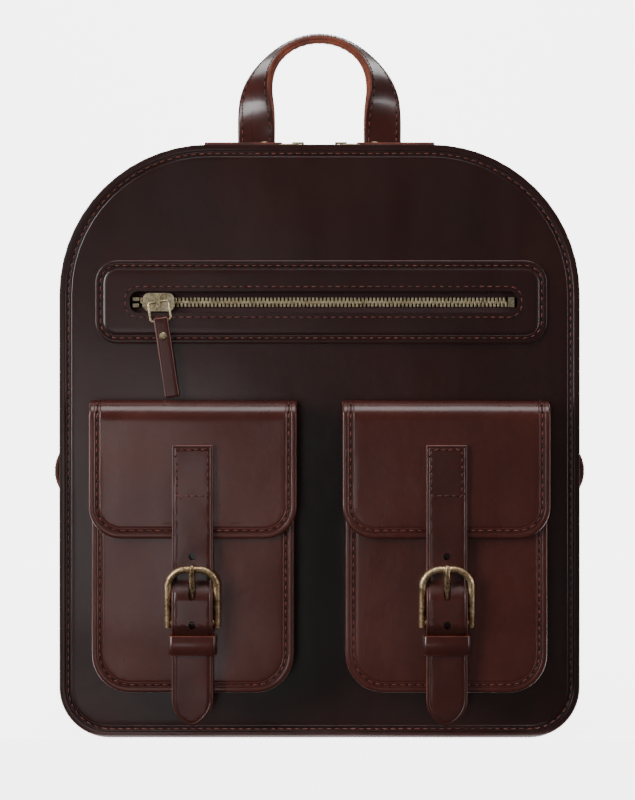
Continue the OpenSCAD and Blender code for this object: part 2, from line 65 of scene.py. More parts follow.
def linear(hex_colour, alpha=1.0):
    """An sRGB hex colour such as "5a2d24" as linear RGBA."""
    channels = [int(hex_colour[i:i + 2], 16) / 255 for i in (0, 2, 4)]
    return [c / 12.92 if c <= 0.04045 else ((c + 0.055) / 1.055) ** 2.4 for c in channels] + [alpha]


def add_node(tree, kind, settings=None, links=None, **attributes):
    """Adds a node, sets its attributes and its inputs, and links its inputs from other sockets."""
    made = tree.nodes.new(kind)
    for key, value in attributes.items():
        setattr(made, key, value)
    for key, value in (settings or {}).items():
        made.inputs[key].default_value = value
    for key, socket in (links or {}).items():
        tree.links.new(socket, made.inputs[key])
    return made


def first_out(tree, kind, settings=None, links=None, **attributes):
    """The first output of a new node."""
    return add_node(tree, kind, settings, links, **attributes).outputs[0]


def new_material(name):
    """An empty node material and its tree, with an output and a Principled shader."""
    made = bpy.data.materials.new(name)
    made.use_nodes = True
    tree = made.node_tree
    tree.nodes.clear()
    shader = tree.nodes.new("ShaderNodeBsdfPrincipled")
    out = tree.nodes.new("ShaderNodeOutputMaterial")
    tree.links.new(shader.outputs["BSDF"], out.inputs["Surface"])
    return made, tree, shader


def ramp_of(tree, factor, stops):
    """A colour ramp over a factor, from (position, hex) stops."""
    made = add_node(tree, "ShaderNodeValToRGB", links={"Fac": factor})
    elements = made.color_ramp.elements
    while len(elements) < len(stops):
        elements.new(0.5)
    for element, (position, colour) in zip(elements, stops):
        element.position = position
        element.color = linear(colour)
    return made.outputs["Color"]


def object_coords(tree):
    """Object coordinates, which stay with a piece when it moves."""
    return add_node(tree, "ShaderNodeTexCoord").outputs["Object"]


def noise_over(tree, coords, **settings):
    """Cloudy noise over coordinates; settings are inputs of the noise node."""
    return add_node(tree, "ShaderNodeTexNoise", settings, {"Vector": coords}).outputs["Fac"]


def wave_over(tree, coords, scale, distortion, axis="X"):
    """Even ribs across an axis."""
    settings = {"Scale": scale, "Distortion": distortion}
    made = add_node(tree, "ShaderNodeTexWave", settings, {"Vector": coords}, bands_direction=axis)
    return made.outputs["Fac"]


def mixed(tree, factor, a, b):
    """Two grey values mixed by a fixed factor."""
    made = add_node(tree, "ShaderNodeMix", {"Factor": factor}, {"A": a, "B": b}, data_type="FLOAT")
    return made.outputs["Result"]


def range_of(tree, value, old, new):
    """A value moved from one (low, high) range to another."""
    ranges = {"From Min": old[0], "From Max": old[1], "To Min": new[0], "To Max": new[1]}
    return add_node(tree, "ShaderNodeMapRange", ranges, {"Value": value}).outputs["Result"]


def colour_by(tree, shader, factor, stops):
    """Colours a shader by a ramp over a factor."""
    tree.links.new(ramp_of(tree, factor, stops), shader.inputs["Base Color"])


def bump_by(tree, shader, height, strength, distance):
    """Bumps a shader's surface by a height."""
    made = add_node(tree, "ShaderNodeBump", {"Strength": strength, "Distance": distance}, {"Height": height})
    tree.links.new(made.outputs["Normal"], shader.inputs["Normal"])


# Backlit acrylic sheet: a white product table that glows evenly, with a faint unevenness.
acrylic, tree, shader = new_material("backlit_acrylic")
coords = object_coords(tree)
cloud = noise_over(tree, coords, Scale=1.5)
colour_by(tree, shader, cloud, [(0.3, "f6f6f6"), (0.7, "fbfbfb")])
shader.inputs["Roughness"].default_value = 0.9
shader.inputs["Emission Color"].default_value = linear("ffffff")
shader.inputs["Emission Strength"].default_value = 4.5

floor_mesh = bpy.data.meshes.new("studio_floor")
table_front, table_back, table_half = -0.056, 1.6, 0.75
curve_r, wall_top = 1.0, 1.15
sweep = [(table_front, 0.0), (table_back, 0.0)]
for angle in range(10, 91, 10):
    turned = math.radians(angle)
    sweep.append((table_back + curve_r * math.sin(turned), curve_r * (1.0 - math.cos(turned))))
sweep.append((table_back + curve_r, wall_top))
floor_points = [(x, y, z) for y, z in sweep for x in (-table_half, table_half)]
floor_faces = [(2 * i, 2 * i + 1, 2 * i + 3, 2 * i + 2) for i in range(len(sweep) - 1)]
floor_mesh.from_pydata(floor_points, [], floor_faces)
floor_mesh.materials.append(acrylic)
floor_mesh.shade_smooth()
floor = bpy.data.objects.new("studio_floor", floor_mesh)
scene.collection.objects.link(floor)


def soft_light(name, place, target, size, power, colour="ffffff"):
    """An area light at a place, aimed at a target."""
    data = bpy.data.lights.new(name, "AREA")
    data.shape = "RECTANGLE"
    data.size, data.size_y = size
    data.energy = power
    data.color = linear(colour)[:3]
    made = bpy.data.objects.new(name, data)
    made.location = place
    made.rotation_euler = (Vector(target) - Vector(place)).to_track_quat("-Z", "Y").to_euler()
    scene.collection.objects.link(made)


middle = (0, 0, 0.2)
soft_light("left_softbox", (-1.5, -1.15, 0.75), middle, (0.7, 1.5), 34)
soft_light("right_softbox", (1.7, -0.9, 0.6), middle, (0.4, 1.4), 11)
soft_light("top_softbox", (0.1, -0.6, 1.9), middle, (1.4, 0.9), 17)
soft_light("front_softbox", (-0.33, -2.3, 0.03), middle, (0.34, 0.5), 1.2)
soft_light("back_left_light", (-1.2, 1.5, 1.3), middle, (1.0, 1.0), 8)
soft_light("back_right_light", (1.3, 1.5, 1.3), middle, (1.0, 1.0), 10)
scene.world = bpy.data.worlds.new("studio_air")
scene.world.use_nodes = True

# the room is white behind the table and dim in front of it, by direction along Y
tree = scene.world.node_tree
direction = add_node(tree, "ShaderNodeTexCoord").outputs["Generated"]
way = add_node(tree, "ShaderNodeSeparateXYZ", links={"Vector": direction})
glow = range_of(tree, way.outputs["Y"], (0.945, 0.965), (0.08, 5.0))
tree.links.new(glow, tree.nodes["Background"].inputs["Strength"])
tree.nodes["Background"].inputs["Color"].default_value = linear("ffffff")

camera_data = bpy.data.cameras.new("front_camera")
camera_data.sensor_width = 36
camera_data.lens = 113.7
camera = bpy.data.objects.new("front_camera", camera_data)
camera_away, camera_height = 1.6, 0.214
camera.location = (-0.0013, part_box("front_panel")[0][1] - camera_away, camera_height)
camera.rotation_euler = (math.radians(90), 0, 0)
scene.collection.objects.link(camera)
scene.camera = camera

# ---------------------------------------------------------------------------------------------
# Front panel: one sheet of polished vegetable-tanned leather. Its edge is burnished round, and a
# seam 6 mm in from the edge holds it to the gusset, between two creased lines.


def box_mm(node):
    """Lowest and highest corner of a CAD node, in millimetres."""
    return tuple(Vector(corner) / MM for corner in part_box(node))


def joint_place(name):
    """Place of a joint, in metres."""
    return next(joint for joint in frame["joints"] if joint["name"] == name)["pos_m"]


def finish_mesh(bm, name):
    """Turns a bmesh into a mesh with its faces outward."""
    bmesh.ops.recalc_face_normals(bm, faces=bm.faces)
    mesh = bpy.data.meshes.new(name)
    bm.to_mesh(mesh)
    bm.free()
    return mesh


body_low, body_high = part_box("front_panel")
body_w = (body_high[0] - body_low[0]) / MM
body_h = (body_high[2] - body_low[2]) / MM
leather_t = (body_high[1] - body_low[1]) / MM
top_r, bottom_r = 95, 32


def waxed_leather(name, deep, mid, high, gloss=0.30, mottle=14.0):
    """Vegetable-tanned leather, drum-dyed and hand waxed: cloudy dye, fine pores 1 mm apart and a
    polished skin that gives broad soft highlights."""
    made, tree, shader = new_material(name)
    coords = object_coords(tree)
    clouds = noise_over(tree, coords, Scale=mottle, Detail=5.0, Roughness=0.6)
    specks = noise_over(tree, coords, Scale=260.0, Detail=3.0)
    blend = mixed(tree, 0.25, clouds, specks)
    colour_by(tree, shader, blend, [(0.3, deep), (0.5, mid), (0.72, high)])
    stretch = {"Scale": (1.0, 1.0, 0.18), "Rotation": (0.0, 0.5, 0.0)}
    streak_space = first_out(tree, "ShaderNodeMapping", stretch, {"Vector": coords})
    streaks = noise_over(tree, streak_space, Scale=55.0, Detail=3.0, Roughness=0.5)
    rough = range_of(tree, streaks, (0.25, 0.75), (gloss - 0.02, gloss + 0.07))
    tree.links.new(rough, shader.inputs["Roughness"])
    pores = add_node(tree, "ShaderNodeTexVoronoi", {"Scale": 1000.0, "Randomness": 1.0},
                     {"Vector": coords}).outputs["Distance"]
    grain = add_node(tree, "ShaderNodeBump", {"Strength": 0.10, "Distance": 0.0002},
                     {"Height": pores}).outputs["Normal"]
    swell = noise_over(tree, coords, Scale=70.0, Detail=3.0)
    skin = add_node(tree, "ShaderNodeBump", {"Strength": 0.22, "Distance": 0.0012},
                    {"Height": swell, "Normal": grain}).outputs["Normal"]
    tree.links.new(skin, shader.inputs["Normal"])
    shader.inputs["IOR"].default_value = 1.5
    shader.inputs["Coat Weight"].default_value = 0.35
    shader.inputs["Coat Roughness"].default_value = 0.18
    return made


def cut_edge(name, deep, high):
    """Raw cut edge of leather: rust-brown packed fibres 0.3 mm wide, dull and slightly rough."""
    made, tree, shader = new_material(name)
    coords = object_coords(tree)
    fibres = noise_over(tree, coords, Scale=900.0, Detail=4.0)
    patches = noise_over(tree, coords, Scale=60.0, Detail=3.0)
    blend = mixed(tree, 0.55, fibres, patches)
    colour_by(tree, shader, blend, [(0.36, deep), (0.64, high)])
    bump_by(tree, shader, fibres, 0.4, 0.0003)
    shader.inputs["Roughness"].default_value = 0.7
    return made


panel_leather = waxed_leather("waxed_leather_dark", "210d0a", "280f0c", "31140f")
gusset_leather = waxed_leather("waxed_leather_gusset", "1f0c0a", "260f0c", "2f130f")
# the pockets and flaps get a lighter copy of the same waxed leather; its lightness over the panel's is mostly
# a painted sheen, for the soft highlight they catch from the lamps in front
pocket_leather_painted_sheen = waxed_leather("waxed_leather_pocket", "3d1914", "471e18", "53261f", 0.27)
strap_leather = waxed_leather("waxed_leather_strap", "341510", "3e1813", "4b1f19", 0.28, 22.0)
burnished_edge = cut_edge("burnished_leather_edge", "34130d", "7c3a29")
raw_edge = cut_edge("raw_leather_edge", "52221a", "94492f")


def flesh_side():
    """Unfinished inner side of the leather: rust-orange suede-like nap, quite matt."""
    made, tree, shader = new_material("leather_flesh_side")
    coords = object_coords(tree)
    nap = noise_over(tree, coords, Scale=700.0, Detail=6.0)
    colour_by(tree, shader, nap, [(0.35, "6b2d17"), (0.65, "a34f2a")])
    bump_by(tree, shader, nap, 0.3, 0.0004)
    shader.inputs["Roughness"].default_value = 0.85
    shader.inputs["Sheen Weight"].default_value = 0.3
    return made


flesh = flesh_side()


def round_ring(w, h, low_r, high_r, corner=8, across=30, up=30):
    """Returns inset -> points (u, v) round a rounded rectangle that stands on v = 0, every inset with
    the same number of points."""
    def points(inset):
        centres = [(w / 2, 0, low_r, -90), (w / 2, h, high_r, 0),
                   (-w / 2, h, high_r, 90), (-w / 2, 0, low_r, 180)]
        corners = []
        for x, y, r, start in centres:
            r = max(r - inset, 0.15)
            cx = math.copysign(w / 2 - inset - r, x)
            cy = inset + r if y == 0 else h - inset - r
            turns = [math.radians(start + 90 * i / corner) for i in range(corner + 1)]
            corners.append([(cx + r * math.cos(a), cy + r * math.sin(a)) for a in turns])
        ring = []
        for i, arc in enumerate(corners):
            ring += arc
            ahead = corners[(i + 1) % 4][0]
            count = up if i % 2 == 0 else across
            last = arc[-1]
            ring += [(last[0] + (ahead[0] - last[0]) * k / count, last[1] + (ahead[1] - last[1]) * k / count)
                     for k in range(1, count)]
        return ring
    return points


def link_mesh(name, mesh, materials, smooth=True):
    """Links a mesh as an object with its materials."""
    for material in materials:
        mesh.materials.append(material)
    if smooth:
        mesh.shade_smooth()
    made = bpy.data.objects.new(name, mesh)
    scene.collection.objects.link(made)
    return made


def sewn_margin(seam, edge_round=0.9):
    """Section of a sewn margin: burnished edge, crease, sunk stitch channel, crease, flat field."""
    burnished = [(0, -edge_round), (0.15, -edge_round * 0.45), (0.5, -edge_round * 0.12), (1.2, 0.0)]
    outer_crease = [(seam - 2.3, 0.06), (seam - 1.95, -0.02), (seam - 1.75, -0.22), (seam - 1.55, -0.02)]
    channel = [(seam - 0.9, 0.0), (seam - 0.35, -0.22), (seam, -0.3), (seam + 0.35, -0.22), (seam + 0.9, 0.0)]
    inner_crease = [(seam + 1.55, -0.02), (seam + 1.75, -0.22), (seam + 1.95, -0.02), (seam + 2.6, 0.05)]
    return burnished + outer_crease + channel + inner_crease + [(seam + 5, 0.1)]


def leather_sheet(name, ring, profile, thick, bend, grid, materials, back_round=0.35, swell=None):
    """A cut sheet of leather. ring(inset) gives its outline, profile the height of its face at each
    inset, and bend(u, v, d) puts a flat point at depth d above the flesh side in space, in millimetres.
    materials are face, edge and flesh. grid is the spacing of the field's cuts, which lets it bend."""
    bm = bmesh.new()
    rings = [[bm.verts.new((u, v, back_round)) for u, v in ring(0)]]
    rings += [[bm.verts.new((u, v, thick + high)) for u, v in ring(inset)] for inset, high in profile]
    back = [bm.verts.new((u, v, 0)) for u, v in ring(back_round)]
    count = len(back)
    for level, (low, high) in enumerate(zip(rings, rings[1:])):
        for i in range(count):
            face = bm.faces.new((low[i], low[(i + 1) % count], high[(i + 1) % count], high[i]))
            face.material_index = 1 if level < 2 else 0
    for i in range(count):
        face = bm.faces.new((back[i], back[(i + 1) % count], rings[0][(i + 1) % count], rings[0][i]))
        face.material_index = 1
    bm.faces.new(rings[-1])
    under = bm.faces.new(list(reversed(back)))
    under.material_index = 2
    points = ring(0)
    for axis in (0, 1):
        low = min(p[axis] for p in points)
        high = max(p[axis] for p in points)
        step = grid[axis] if isinstance(grid, tuple) else grid
        cuts = max(1, int((high - low) / step))
        normal = (1, 0, 0) if axis == 0 else (0, 1, 0)
        for k in range(1, cuts):
            at = low + (high - low) * k / cuts
            place = (at, 0, 0) if axis == 0 else (0, at, 0)
            bmesh.ops.bisect_plane(bm, geom=bm.verts[:] + bm.edges[:] + bm.faces[:], dist=1e-5,
                                   plane_co=place, plane_no=normal)
    bmesh.ops.triangulate(bm, faces=[f for f in bm.faces if len(f.verts) > 4])
    for vert in bm.verts:
        u, v, d = vert.co
        if swell is not None and d > 0.5 * thick:
            d += swell(u, v)
        vert.co = Vector(bend(u, v, d)) * MM
    return link_mesh(name, finish_mesh(bm, name), materials)


def soft_wave(size, height, seed):
    """Slow unevenness of a hand-cut sheet, as a height over (u, v)."""
    def wave(u, v):
        return height * noise.noise(Vector((u / size + seed, v / size, seed * 1.7)))
    return wave


front_face = body_low[1] / MM
body_ring = round_ring(body_w, body_h, bottom_r, top_r, 14, 30, 30)
SEAM = 6.0


def on_front(u, v, d):
    """A point of the front panel, u across and v up."""
    return (u, front_face + leather_t - d, v)


front_panel = leather_sheet("front_panel_leather", body_ring, sewn_margin(SEAM, 1.6), leather_t, on_front, 12,
                            [panel_leather, burnished_edge, flesh], swell=soft_wave(70, 0.9, 3.1))

# the slot behind the zip patch is cut right through the panel, 1 mm larger all round than the patch's
teeth_low, teeth_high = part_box("front_teeth_upper")
slot_w, slot_h, slot_r = 245, 13.6, 5
slot_x = (teeth_low[0] + teeth_high[0]) / 2 / MM
slot_z = (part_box("front_tape_upper")[0][2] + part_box("front_tape_lower")[1][2]) / 2 / MM


def prism(name, ring_points, place):
    """A straight prism over a closed outline, from depth -1 to 1 times 10 mm."""
    bm = bmesh.new()
    ends = [[bm.verts.new(Vector(place(u, v, d)) * MM) for u, v in ring_points] for d in (-10, 10)]
    count = len(ring_points)
    for i in range(count):
        bm.faces.new((ends[0][i], ends[0][(i + 1) % count], ends[1][(i + 1) % count], ends[1][i]))
    bm.faces.new(ends[0])
    bm.faces.new(list(reversed(ends[1])))
    made = bpy.data.objects.new(name, finish_mesh(bm, name))
    scene.collection.objects.link(made)
    return made


def bake_mesh(piece):
    """Turns a piece's modifiers into its plain mesh."""
    bpy.context.view_layer.update()
    depsgraph = bpy.context.evaluated_depsgraph_get()
    mesh = bpy.data.meshes.new_from_object(piece.evaluated_get(depsgraph))
    piece.modifiers.clear()
    old = piece.data
    piece.data = mesh
    mesh.name = piece.name
    if old.users == 0 and isinstance(old, bpy.types.Mesh):
        bpy.data.meshes.remove(old)
    return piece


def cut_through(piece, cutter):
    """Cuts a prism out of a piece."""
    cut = piece.modifiers.new("cut", "BOOLEAN")
    cut.operation = "DIFFERENCE"
    cut.solver = "EXACT"
    cut.object = cutter
    bake_mesh(piece)
    bpy.data.objects.remove(cutter)
    piece.data.set_sharp_from_angle(angle=math.radians(40))
    return piece


slot_ring = round_ring(slot_w, slot_h, slot_r, slot_r, 6, 2, 2)
slot_low = slot_z - slot_h / 2
cutter = prism("slot_cutter", [(u + slot_x, v + slot_low) for u, v in slot_ring(-1)], on_front)
cut_through(front_panel, cutter)
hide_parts("front_panel")
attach(front_panel, "bag")


def waxed_thread():
    """Waxed polyester thread, dark red, twisted from strands 0.3 mm wide."""
    made, tree, shader = new_material("waxed_red_thread")
    coords = object_coords(tree)
    tone = noise_over(tree, coords, Scale=300.0, Detail=2.0)
    colour_by(tree, shader, tone, [(0.3, "451a13"), (0.7, "79382b")])
    bump_by(tree, shader, tone, 0.5, 0.0002)
    shader.inputs["Roughness"].default_value = 0.5
    return made


def painted_hole_shade():
    """Painted shade inside an awl hole: a nearly black blob that stands in for the hole's shadow."""
    made, tree, shader = new_material("awl_hole_leather")
    coords = object_coords(tree)
    tone = noise_over(tree, coords, Scale=800.0)
    colour_by(tree, shader, tone, [(0.3, "060201"), (0.7, "120504")])
    shader.inputs["Roughness"].default_value = 0.9
    return made


thread = waxed_thread()
# the dark blobs between the stitches are painted shade in the awl holes, not the leather's colour
awl_hole = painted_hole_shade()


def new_group(name, inputs, output):
    """A Geometry Nodes group with (label, type) inputs and one geometry output."""
    tree = bpy.data.node_groups.new(name, "GeometryNodeTree")
    for label, kind in inputs:
        tree.interface.new_socket(label, in_out="INPUT", socket_type="NodeSocket" + kind)
    tree.interface.new_socket(output, in_out="OUTPUT", socket_type="NodeSocketGeometry")
    return tree


def even_points(tree, given):
    """A group's line cut at its pitch, and the line's tangent."""
    curve = first_out(tree, "GeometryNodeMeshToCurve", links={"Mesh": given["Line"]})
    even = first_out(tree, "GeometryNodeResampleCurve", links={"Curve": curve, "Length": given["Pitch"]},
                     mode="LENGTH")
    return even, first_out(tree, "GeometryNodeInputTangent")


def moved_along(tree, given, points, tangent, share):
    """Points moved along a line by a share of the pitch."""
    reach = first_out(tree, "ShaderNodeMath", {1: share}, {0: given["Pitch"]}, operation="MULTIPLY")
    step = first_out(tree, "ShaderNodeVectorMath", links={0: tangent, "Scale": reach}, operation="SCALE")
    return first_out(tree, "GeometryNodeSetPosition", links={"Geometry": points, "Offset": step})


def stitch_tree():
    """Geometry Nodes: a saddle stitch along a line, one thread between each pair of awl holes."""
    inputs = [("Line", "Geometry"), ("Pitch", "Float"), ("Thread Length", "Float"), ("Thread Width", "Float"),
              ("Hole Width", "Float"), ("Thread", "Material"), ("Hole", "Material")]
    tree = new_group("saddle_stitch", inputs, "Stitches")
    given = tree.nodes.new("NodeGroupInput").outputs
    even, tangent = even_points(tree, given)
    between = moved_along(tree, given, even, tangent, 0.5)
    turn = first_out(tree, "FunctionNodeAlignRotationToVector", links={"Vector": tangent}, axis="X")
    ball = first_out(tree, "GeometryNodeMeshUVSphere", {"Segments": 6, "Rings": 4, "Radius": 0.5})
    joined = add_node(tree, "GeometryNodeJoinGeometry")
    for points, lengths, material in ((even, ("Thread Length", "Thread Width", "Thread Width"), "Thread"),
                                      (between, ("Hole Width", "Hole Width", "Hole Width"), "Hole")):
        axes = {axis: given[length] for axis, length in zip("XYZ", lengths)}
        size = first_out(tree, "ShaderNodeCombineXYZ", links=axes)
        copies = first_out(tree, "GeometryNodeInstanceOnPoints",
                           links={"Points": points, "Instance": ball, "Rotation": turn, "Scale": size})
        real = first_out(tree, "GeometryNodeRealizeInstances", links={"Geometry": copies})
        finish = first_out(tree, "GeometryNodeSetMaterial",
                           links={"Geometry": real, "Material": given[material]})
        tree.links.new(finish, joined.inputs["Geometry"])
    smooth = first_out(tree, "GeometryNodeSetShadeSmooth", links={"Geometry": joined.outputs["Geometry"]})
    tree.links.new(smooth, tree.nodes.new("NodeGroupOutput").inputs["Stitches"])
    return tree


saddle_stitch = stitch_tree()


def set_inputs(modifier, **values):
    """Sets a Geometry Nodes modifier's inputs by their sockets' identifiers."""
    for item in modifier.node_group.interface.items_tree:
        key = item.name.lower().replace(" ", "_")
        if item.item_type == "SOCKET" and item.in_out == "INPUT" and key in values:
            modifier[item.identifier] = values[key]


def line_object(name, lines):
    """An object of loose edge chains; lines are (points in millimetres, closed)."""
    points, edges = [], []
    for chain, closed in lines:
        first = len(points)
        points += [Vector(p) * MM for p in chain]
        edges += [(first + i, first + i + 1) for i in range(len(chain) - 1)]
        if closed:
            edges.append((len(points) - 1, first))
    mesh = bpy.data.meshes.new(name)
    mesh.from_pydata(points, edges, [])
    made = bpy.data.objects.new(name, mesh)
    scene.collection.objects.link(made)
    return made


def sew(name, lines, pitch=5.1, width=0.95):
    """Sews stitches along lines, as one piece."""
    made = line_object(name, lines)
    modifier = made.modifiers.new("stitches", "NODES")
    modifier.node_group = saddle_stitch
    set_inputs(modifier, pitch=pitch * MM, thread_length=pitch * 0.74 * MM, thread_width=width * MM,
               hole_width=width * 1.25 * MM, thread=thread, hole=awl_hole)
    return bake_mesh(made)


def seam_on(ring, seam, bend, height):
    """The line of a seam round a sheet, at a height above its flesh side."""
    return [bend(u, v, height) for u, v in ring(seam)]


stitch_level = leather_t - 0.1
front_stitches = sew("front_panel_stitches", [(seam_on(body_ring, SEAM, on_front, stitch_level), True)])
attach(front_stitches, "bag")

# ---------------------------------------------------------------------------------------------
# Zip patch: a stitched frame of leather round the slot, sewn down with one row near its outer edge
# and one near the slot.

patch_low, patch_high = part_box("zip_patch")
patch_w = (patch_high[0] - patch_low[0]) / MM
patch_h = (patch_high[2] - patch_low[2]) / MM
patch_x = (patch_high[0] + patch_low[0]) / 2 / MM
patch_t = (patch_high[1] - patch_low[1]) / MM
patch_ring = round_ring(patch_w, patch_h, 14, 14, 8, 40, 4)


def on_patch(u, v, d):
    """A point of the zip patch, which lies on the front panel."""
    return (u + patch_x, front_face - d, v + patch_low[2] / MM)


patch_seam = 3.4
patch_profile = [(0, -0.5), (0.15, -0.2), (0.5, 0), (1.9, 0.03), (2.4, 0), (patch_seam - 0.4, -0.2),
                 (patch_seam, -0.26), (patch_seam + 0.4, -0.2), (4.4, 0), (5.1, 0.0), (5.3, -0.16),
                 (5.5, 0.0), (8, 0.15)]
patch = leather_sheet("zip_patch_leather", patch_ring, patch_profile, patch_t, on_patch, 9,
                      [panel_leather, burnished_edge, flesh], swell=soft_wave(40, 0.35, 7.7))
slot_on_patch = [(u + slot_x - patch_x, v + slot_low - patch_low[2] / MM) for u, v in slot_ring(0)]
cut_through(patch, prism("patch_cutter", slot_on_patch, on_patch))
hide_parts("zip_patch")
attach(patch, "bag")

slot_seam_ring = round_ring(slot_w, slot_h, slot_r, slot_r, 6, 40, 4)
slot_margin = 2.9
slot_seam = [(u + slot_x, front_face - patch_t, v + slot_low) for u, v in slot_seam_ring(-slot_margin)]
patch_stitches = sew("zip_patch_stitches", [(seam_on(patch_ring, patch_seam, on_patch, patch_t), True),
                                            (slot_seam, True)])
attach(patch_stitches, "bag")

# ---------------------------------------------------------------------------------------------
# Front zip: dark burgundy woven tapes sewn behind the slot, with brass teeth clamped on at 2.4 mm,
# two top stops, a bottom stop and a cast slider. The metal is polished and lightly toned.


def woven_tape():
    """Polyester zip tape: herringbone weave drawn at 0.9 mm, coarser than the real 0.4 mm so it shows."""
    made, tree, shader = new_material("woven_zip_tape")
    coords = object_coords(tree)
    turned = first_out(tree, "ShaderNodeMapping", {"Rotation": (0.0, 0.785, 0.785)}, {"Vector": coords})
    ribs = wave_over(tree, turned, 350.0, 1.5)
    colour_by(tree, shader, ribs, [(0.2, "1c0508"), (0.8, "3a0d14")])
    bump_by(tree, shader, ribs, 0.5, 0.0003)
    shader.inputs["Roughness"].default_value = 0.8
    shader.inputs["Sheen Weight"].default_value = 0.2
    return made


def toned_brass(name, dark, mid, bright, rough, speck):
    """Brass, plated and antiqued: rubbed bright on high spots, brown in small pits and specks."""
    made, tree, shader = new_material(name)
    coords = object_coords(tree)
    patches = noise_over(tree, coords, Scale=160.0, Detail=4.0)
    pits = noise_over(tree, coords, Scale=speck, Detail=3.0)
    blend = mixed(tree, 0.5, patches, pits)
    colour_by(tree, shader, blend, [(0.38, dark), (0.5, mid), (0.64, bright)])
    rough_value = range_of(tree, blend, (0.35, 0.65), (rough + 0.14, rough))
    tree.links.new(rough_value, shader.inputs["Roughness"])
    bump_by(tree, shader, pits, 0.15, 0.0003)
    shader.inputs["Metallic"].default_value = 1.0
    return made


tape_weave = woven_tape()
zip_brass = toned_brass("toned_zip_brass", "8d7d62", "d0bf9b", "f4e8c8", 0.36, 900.0)
buckle_brass = toned_brass("antiqued_cast_brass", "705a42", "c4a67e", "f2dbb2", 0.38, 700.0)


def paint(material, *names):
    """Gives CAD nodes a finish."""
    for name in names:
        nodes[name].data.materials.clear()
        nodes[name].data.materials.append(material)


paint(tape_weave, "front_tape_upper", "front_tape_lower", "main_tape_front", "main_tape_back")
paint(zip_brass, "zip_stops", "front_slider", "pull_ring", "pull_rivet")
for side in ("left", "right"):
    paint(zip_brass, "main_slider_" + side)
    paint(buckle_brass, "buckle_frame_" + side, "shoulder_adjuster_" + side, "shoulder_ring_" + side,
          "snap_stud_" + side, "snap_socket_" + side)


def tooth_mesh():
    """One clamped tooth, 1.35 mm wide and 3.9 mm long: a leg over the tape and a head past the middle."""
    bm = bmesh.new()
    bmesh.ops.create_cube(bm, size=1.0)
    for vert in bm.verts:
        vert.co = Vector((vert.co.x * 1.35, vert.co.y * 2.5, vert.co.z * 3.9 + 1.15))
    bmesh.ops.bevel(bm, geom=bm.edges[:], offset=0.32, segments=1, affect="EDGES")
    for vert in bm.verts:
        vert.co *= MM
    mesh = bpy.data.meshes.new("zip_tooth")
    bm.to_mesh(mesh)
    bm.free()
    return mesh


def teeth_tree():
    """Geometry Nodes: zip teeth in two rows along a line, each row half a pitch from the other."""
    inputs = [("Line", "Geometry"), ("Pitch", "Float"), ("Across", "Vector"), ("Tooth", "Object"),
              ("Metal", "Material")]
    tree = new_group("zip_teeth", inputs, "Teeth")
    given = tree.nodes.new("NodeGroupInput").outputs
    even, tangent = even_points(tree, given)
    tooth = add_node(tree, "GeometryNodeObjectInfo", links={"Object": given["Tooth"]}).outputs["Geometry"]
    joined = add_node(tree, "GeometryNodeJoinGeometry")
    for row, sign in enumerate((1.0, -1.0)):
        side = first_out(tree, "ShaderNodeVectorMath", {"Scale": sign}, {0: given["Across"]},
                         operation="SCALE")
        upright = first_out(tree, "FunctionNodeAlignRotationToVector", links={"Vector": side}, axis="Z")
        turn = first_out(tree, "FunctionNodeAlignRotationToVector",
                         links={"Rotation": upright, "Vector": tangent}, axis="X", pivot_axis="Z")
        placed = moved_along(tree, given, even, tangent, 0.5 * row)
        copies = first_out(tree, "GeometryNodeInstanceOnPoints",
                           links={"Points": placed, "Instance": tooth, "Rotation": turn})
        tree.links.new(copies, joined.inputs["Geometry"])
    real = first_out(tree, "GeometryNodeRealizeInstances", links={"Geometry": joined.outputs["Geometry"]})
    finish = first_out(tree, "GeometryNodeSetMaterial", links={"Geometry": real, "Material": given["Metal"]})
    tree.links.new(finish, tree.nodes.new("NodeGroupOutput").inputs["Teeth"])
    return tree


zip_teeth = teeth_tree()
tooth_pitch = 2.4
tooth = bpy.data.objects.new("zip_tooth", tooth_mesh())
scene.collection.objects.link(tooth)


def fit_teeth(name, line, across):
    """A closed chain of teeth along a line, as one piece; across points from one tape to the other."""
    made = line_object(name, [(line, False)])
    modifier = made.modifiers.new("teeth", "NODES")
    modifier.node_group = zip_teeth
    set_inputs(modifier, pitch=tooth_pitch * MM, across=across, tooth=tooth, metal=zip_brass)
    return bake_mesh(made)


chain_y = (teeth_low[1] + teeth_high[1]) / 2 / MM
chain_ends = (teeth_low[0] / MM + 1, teeth_high[0] / MM - 2)
front_teeth = fit_teeth("front_zip_teeth", [(x, chain_y, slot_z) for x in chain_ends], (0.0, 0.0, 1.0))
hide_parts("front_teeth_upper", "front_teeth_lower")
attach(front_teeth, "bag")

# ---------------------------------------------------------------------------------------------
# Front zip pull: a strip of strap leather folded over the wire ring and held by one brass rivet. Its
# cut edges show rust.

eye = Vector(joint_place("pull_lift")) / MM
lean = math.radians(8.5)
pull_len, pull_thick = 49, 3.6
ring_drop = 12


def pull_ring_outline(length, width):
    """Outline of a pull, rounded a little at both ends."""
    return round_ring(width, length, 1.2, 1.2, 4, 3, 12)


def folded_pull(name, place, edge, length=pull_len, width=9, thick=pull_thick):
    """A pull of two plies, lying in the plane that place(u, v, d) gives."""
    profile = [(0, -0.5), (0.25, -0.15), (0.7, 0.0), (1.4, 0.08)]
    return leather_sheet(name, pull_ring_outline(length + thick / 2, width), profile, thick, place, (3, 4),
                         [strap_leather, edge, strap_leather], back_round=0.5)


def on_front_pull(u, v, d):
    """v runs up the pull, which is drawn flat and tilted; its top reaches the ring."""
    drop = v - pull_len
    return (eye.x + u * math.cos(lean) - drop * math.sin(lean), eye.y + pull_thick / 2 - d,
            eye.z + u * math.sin(lean) + drop * math.cos(lean))


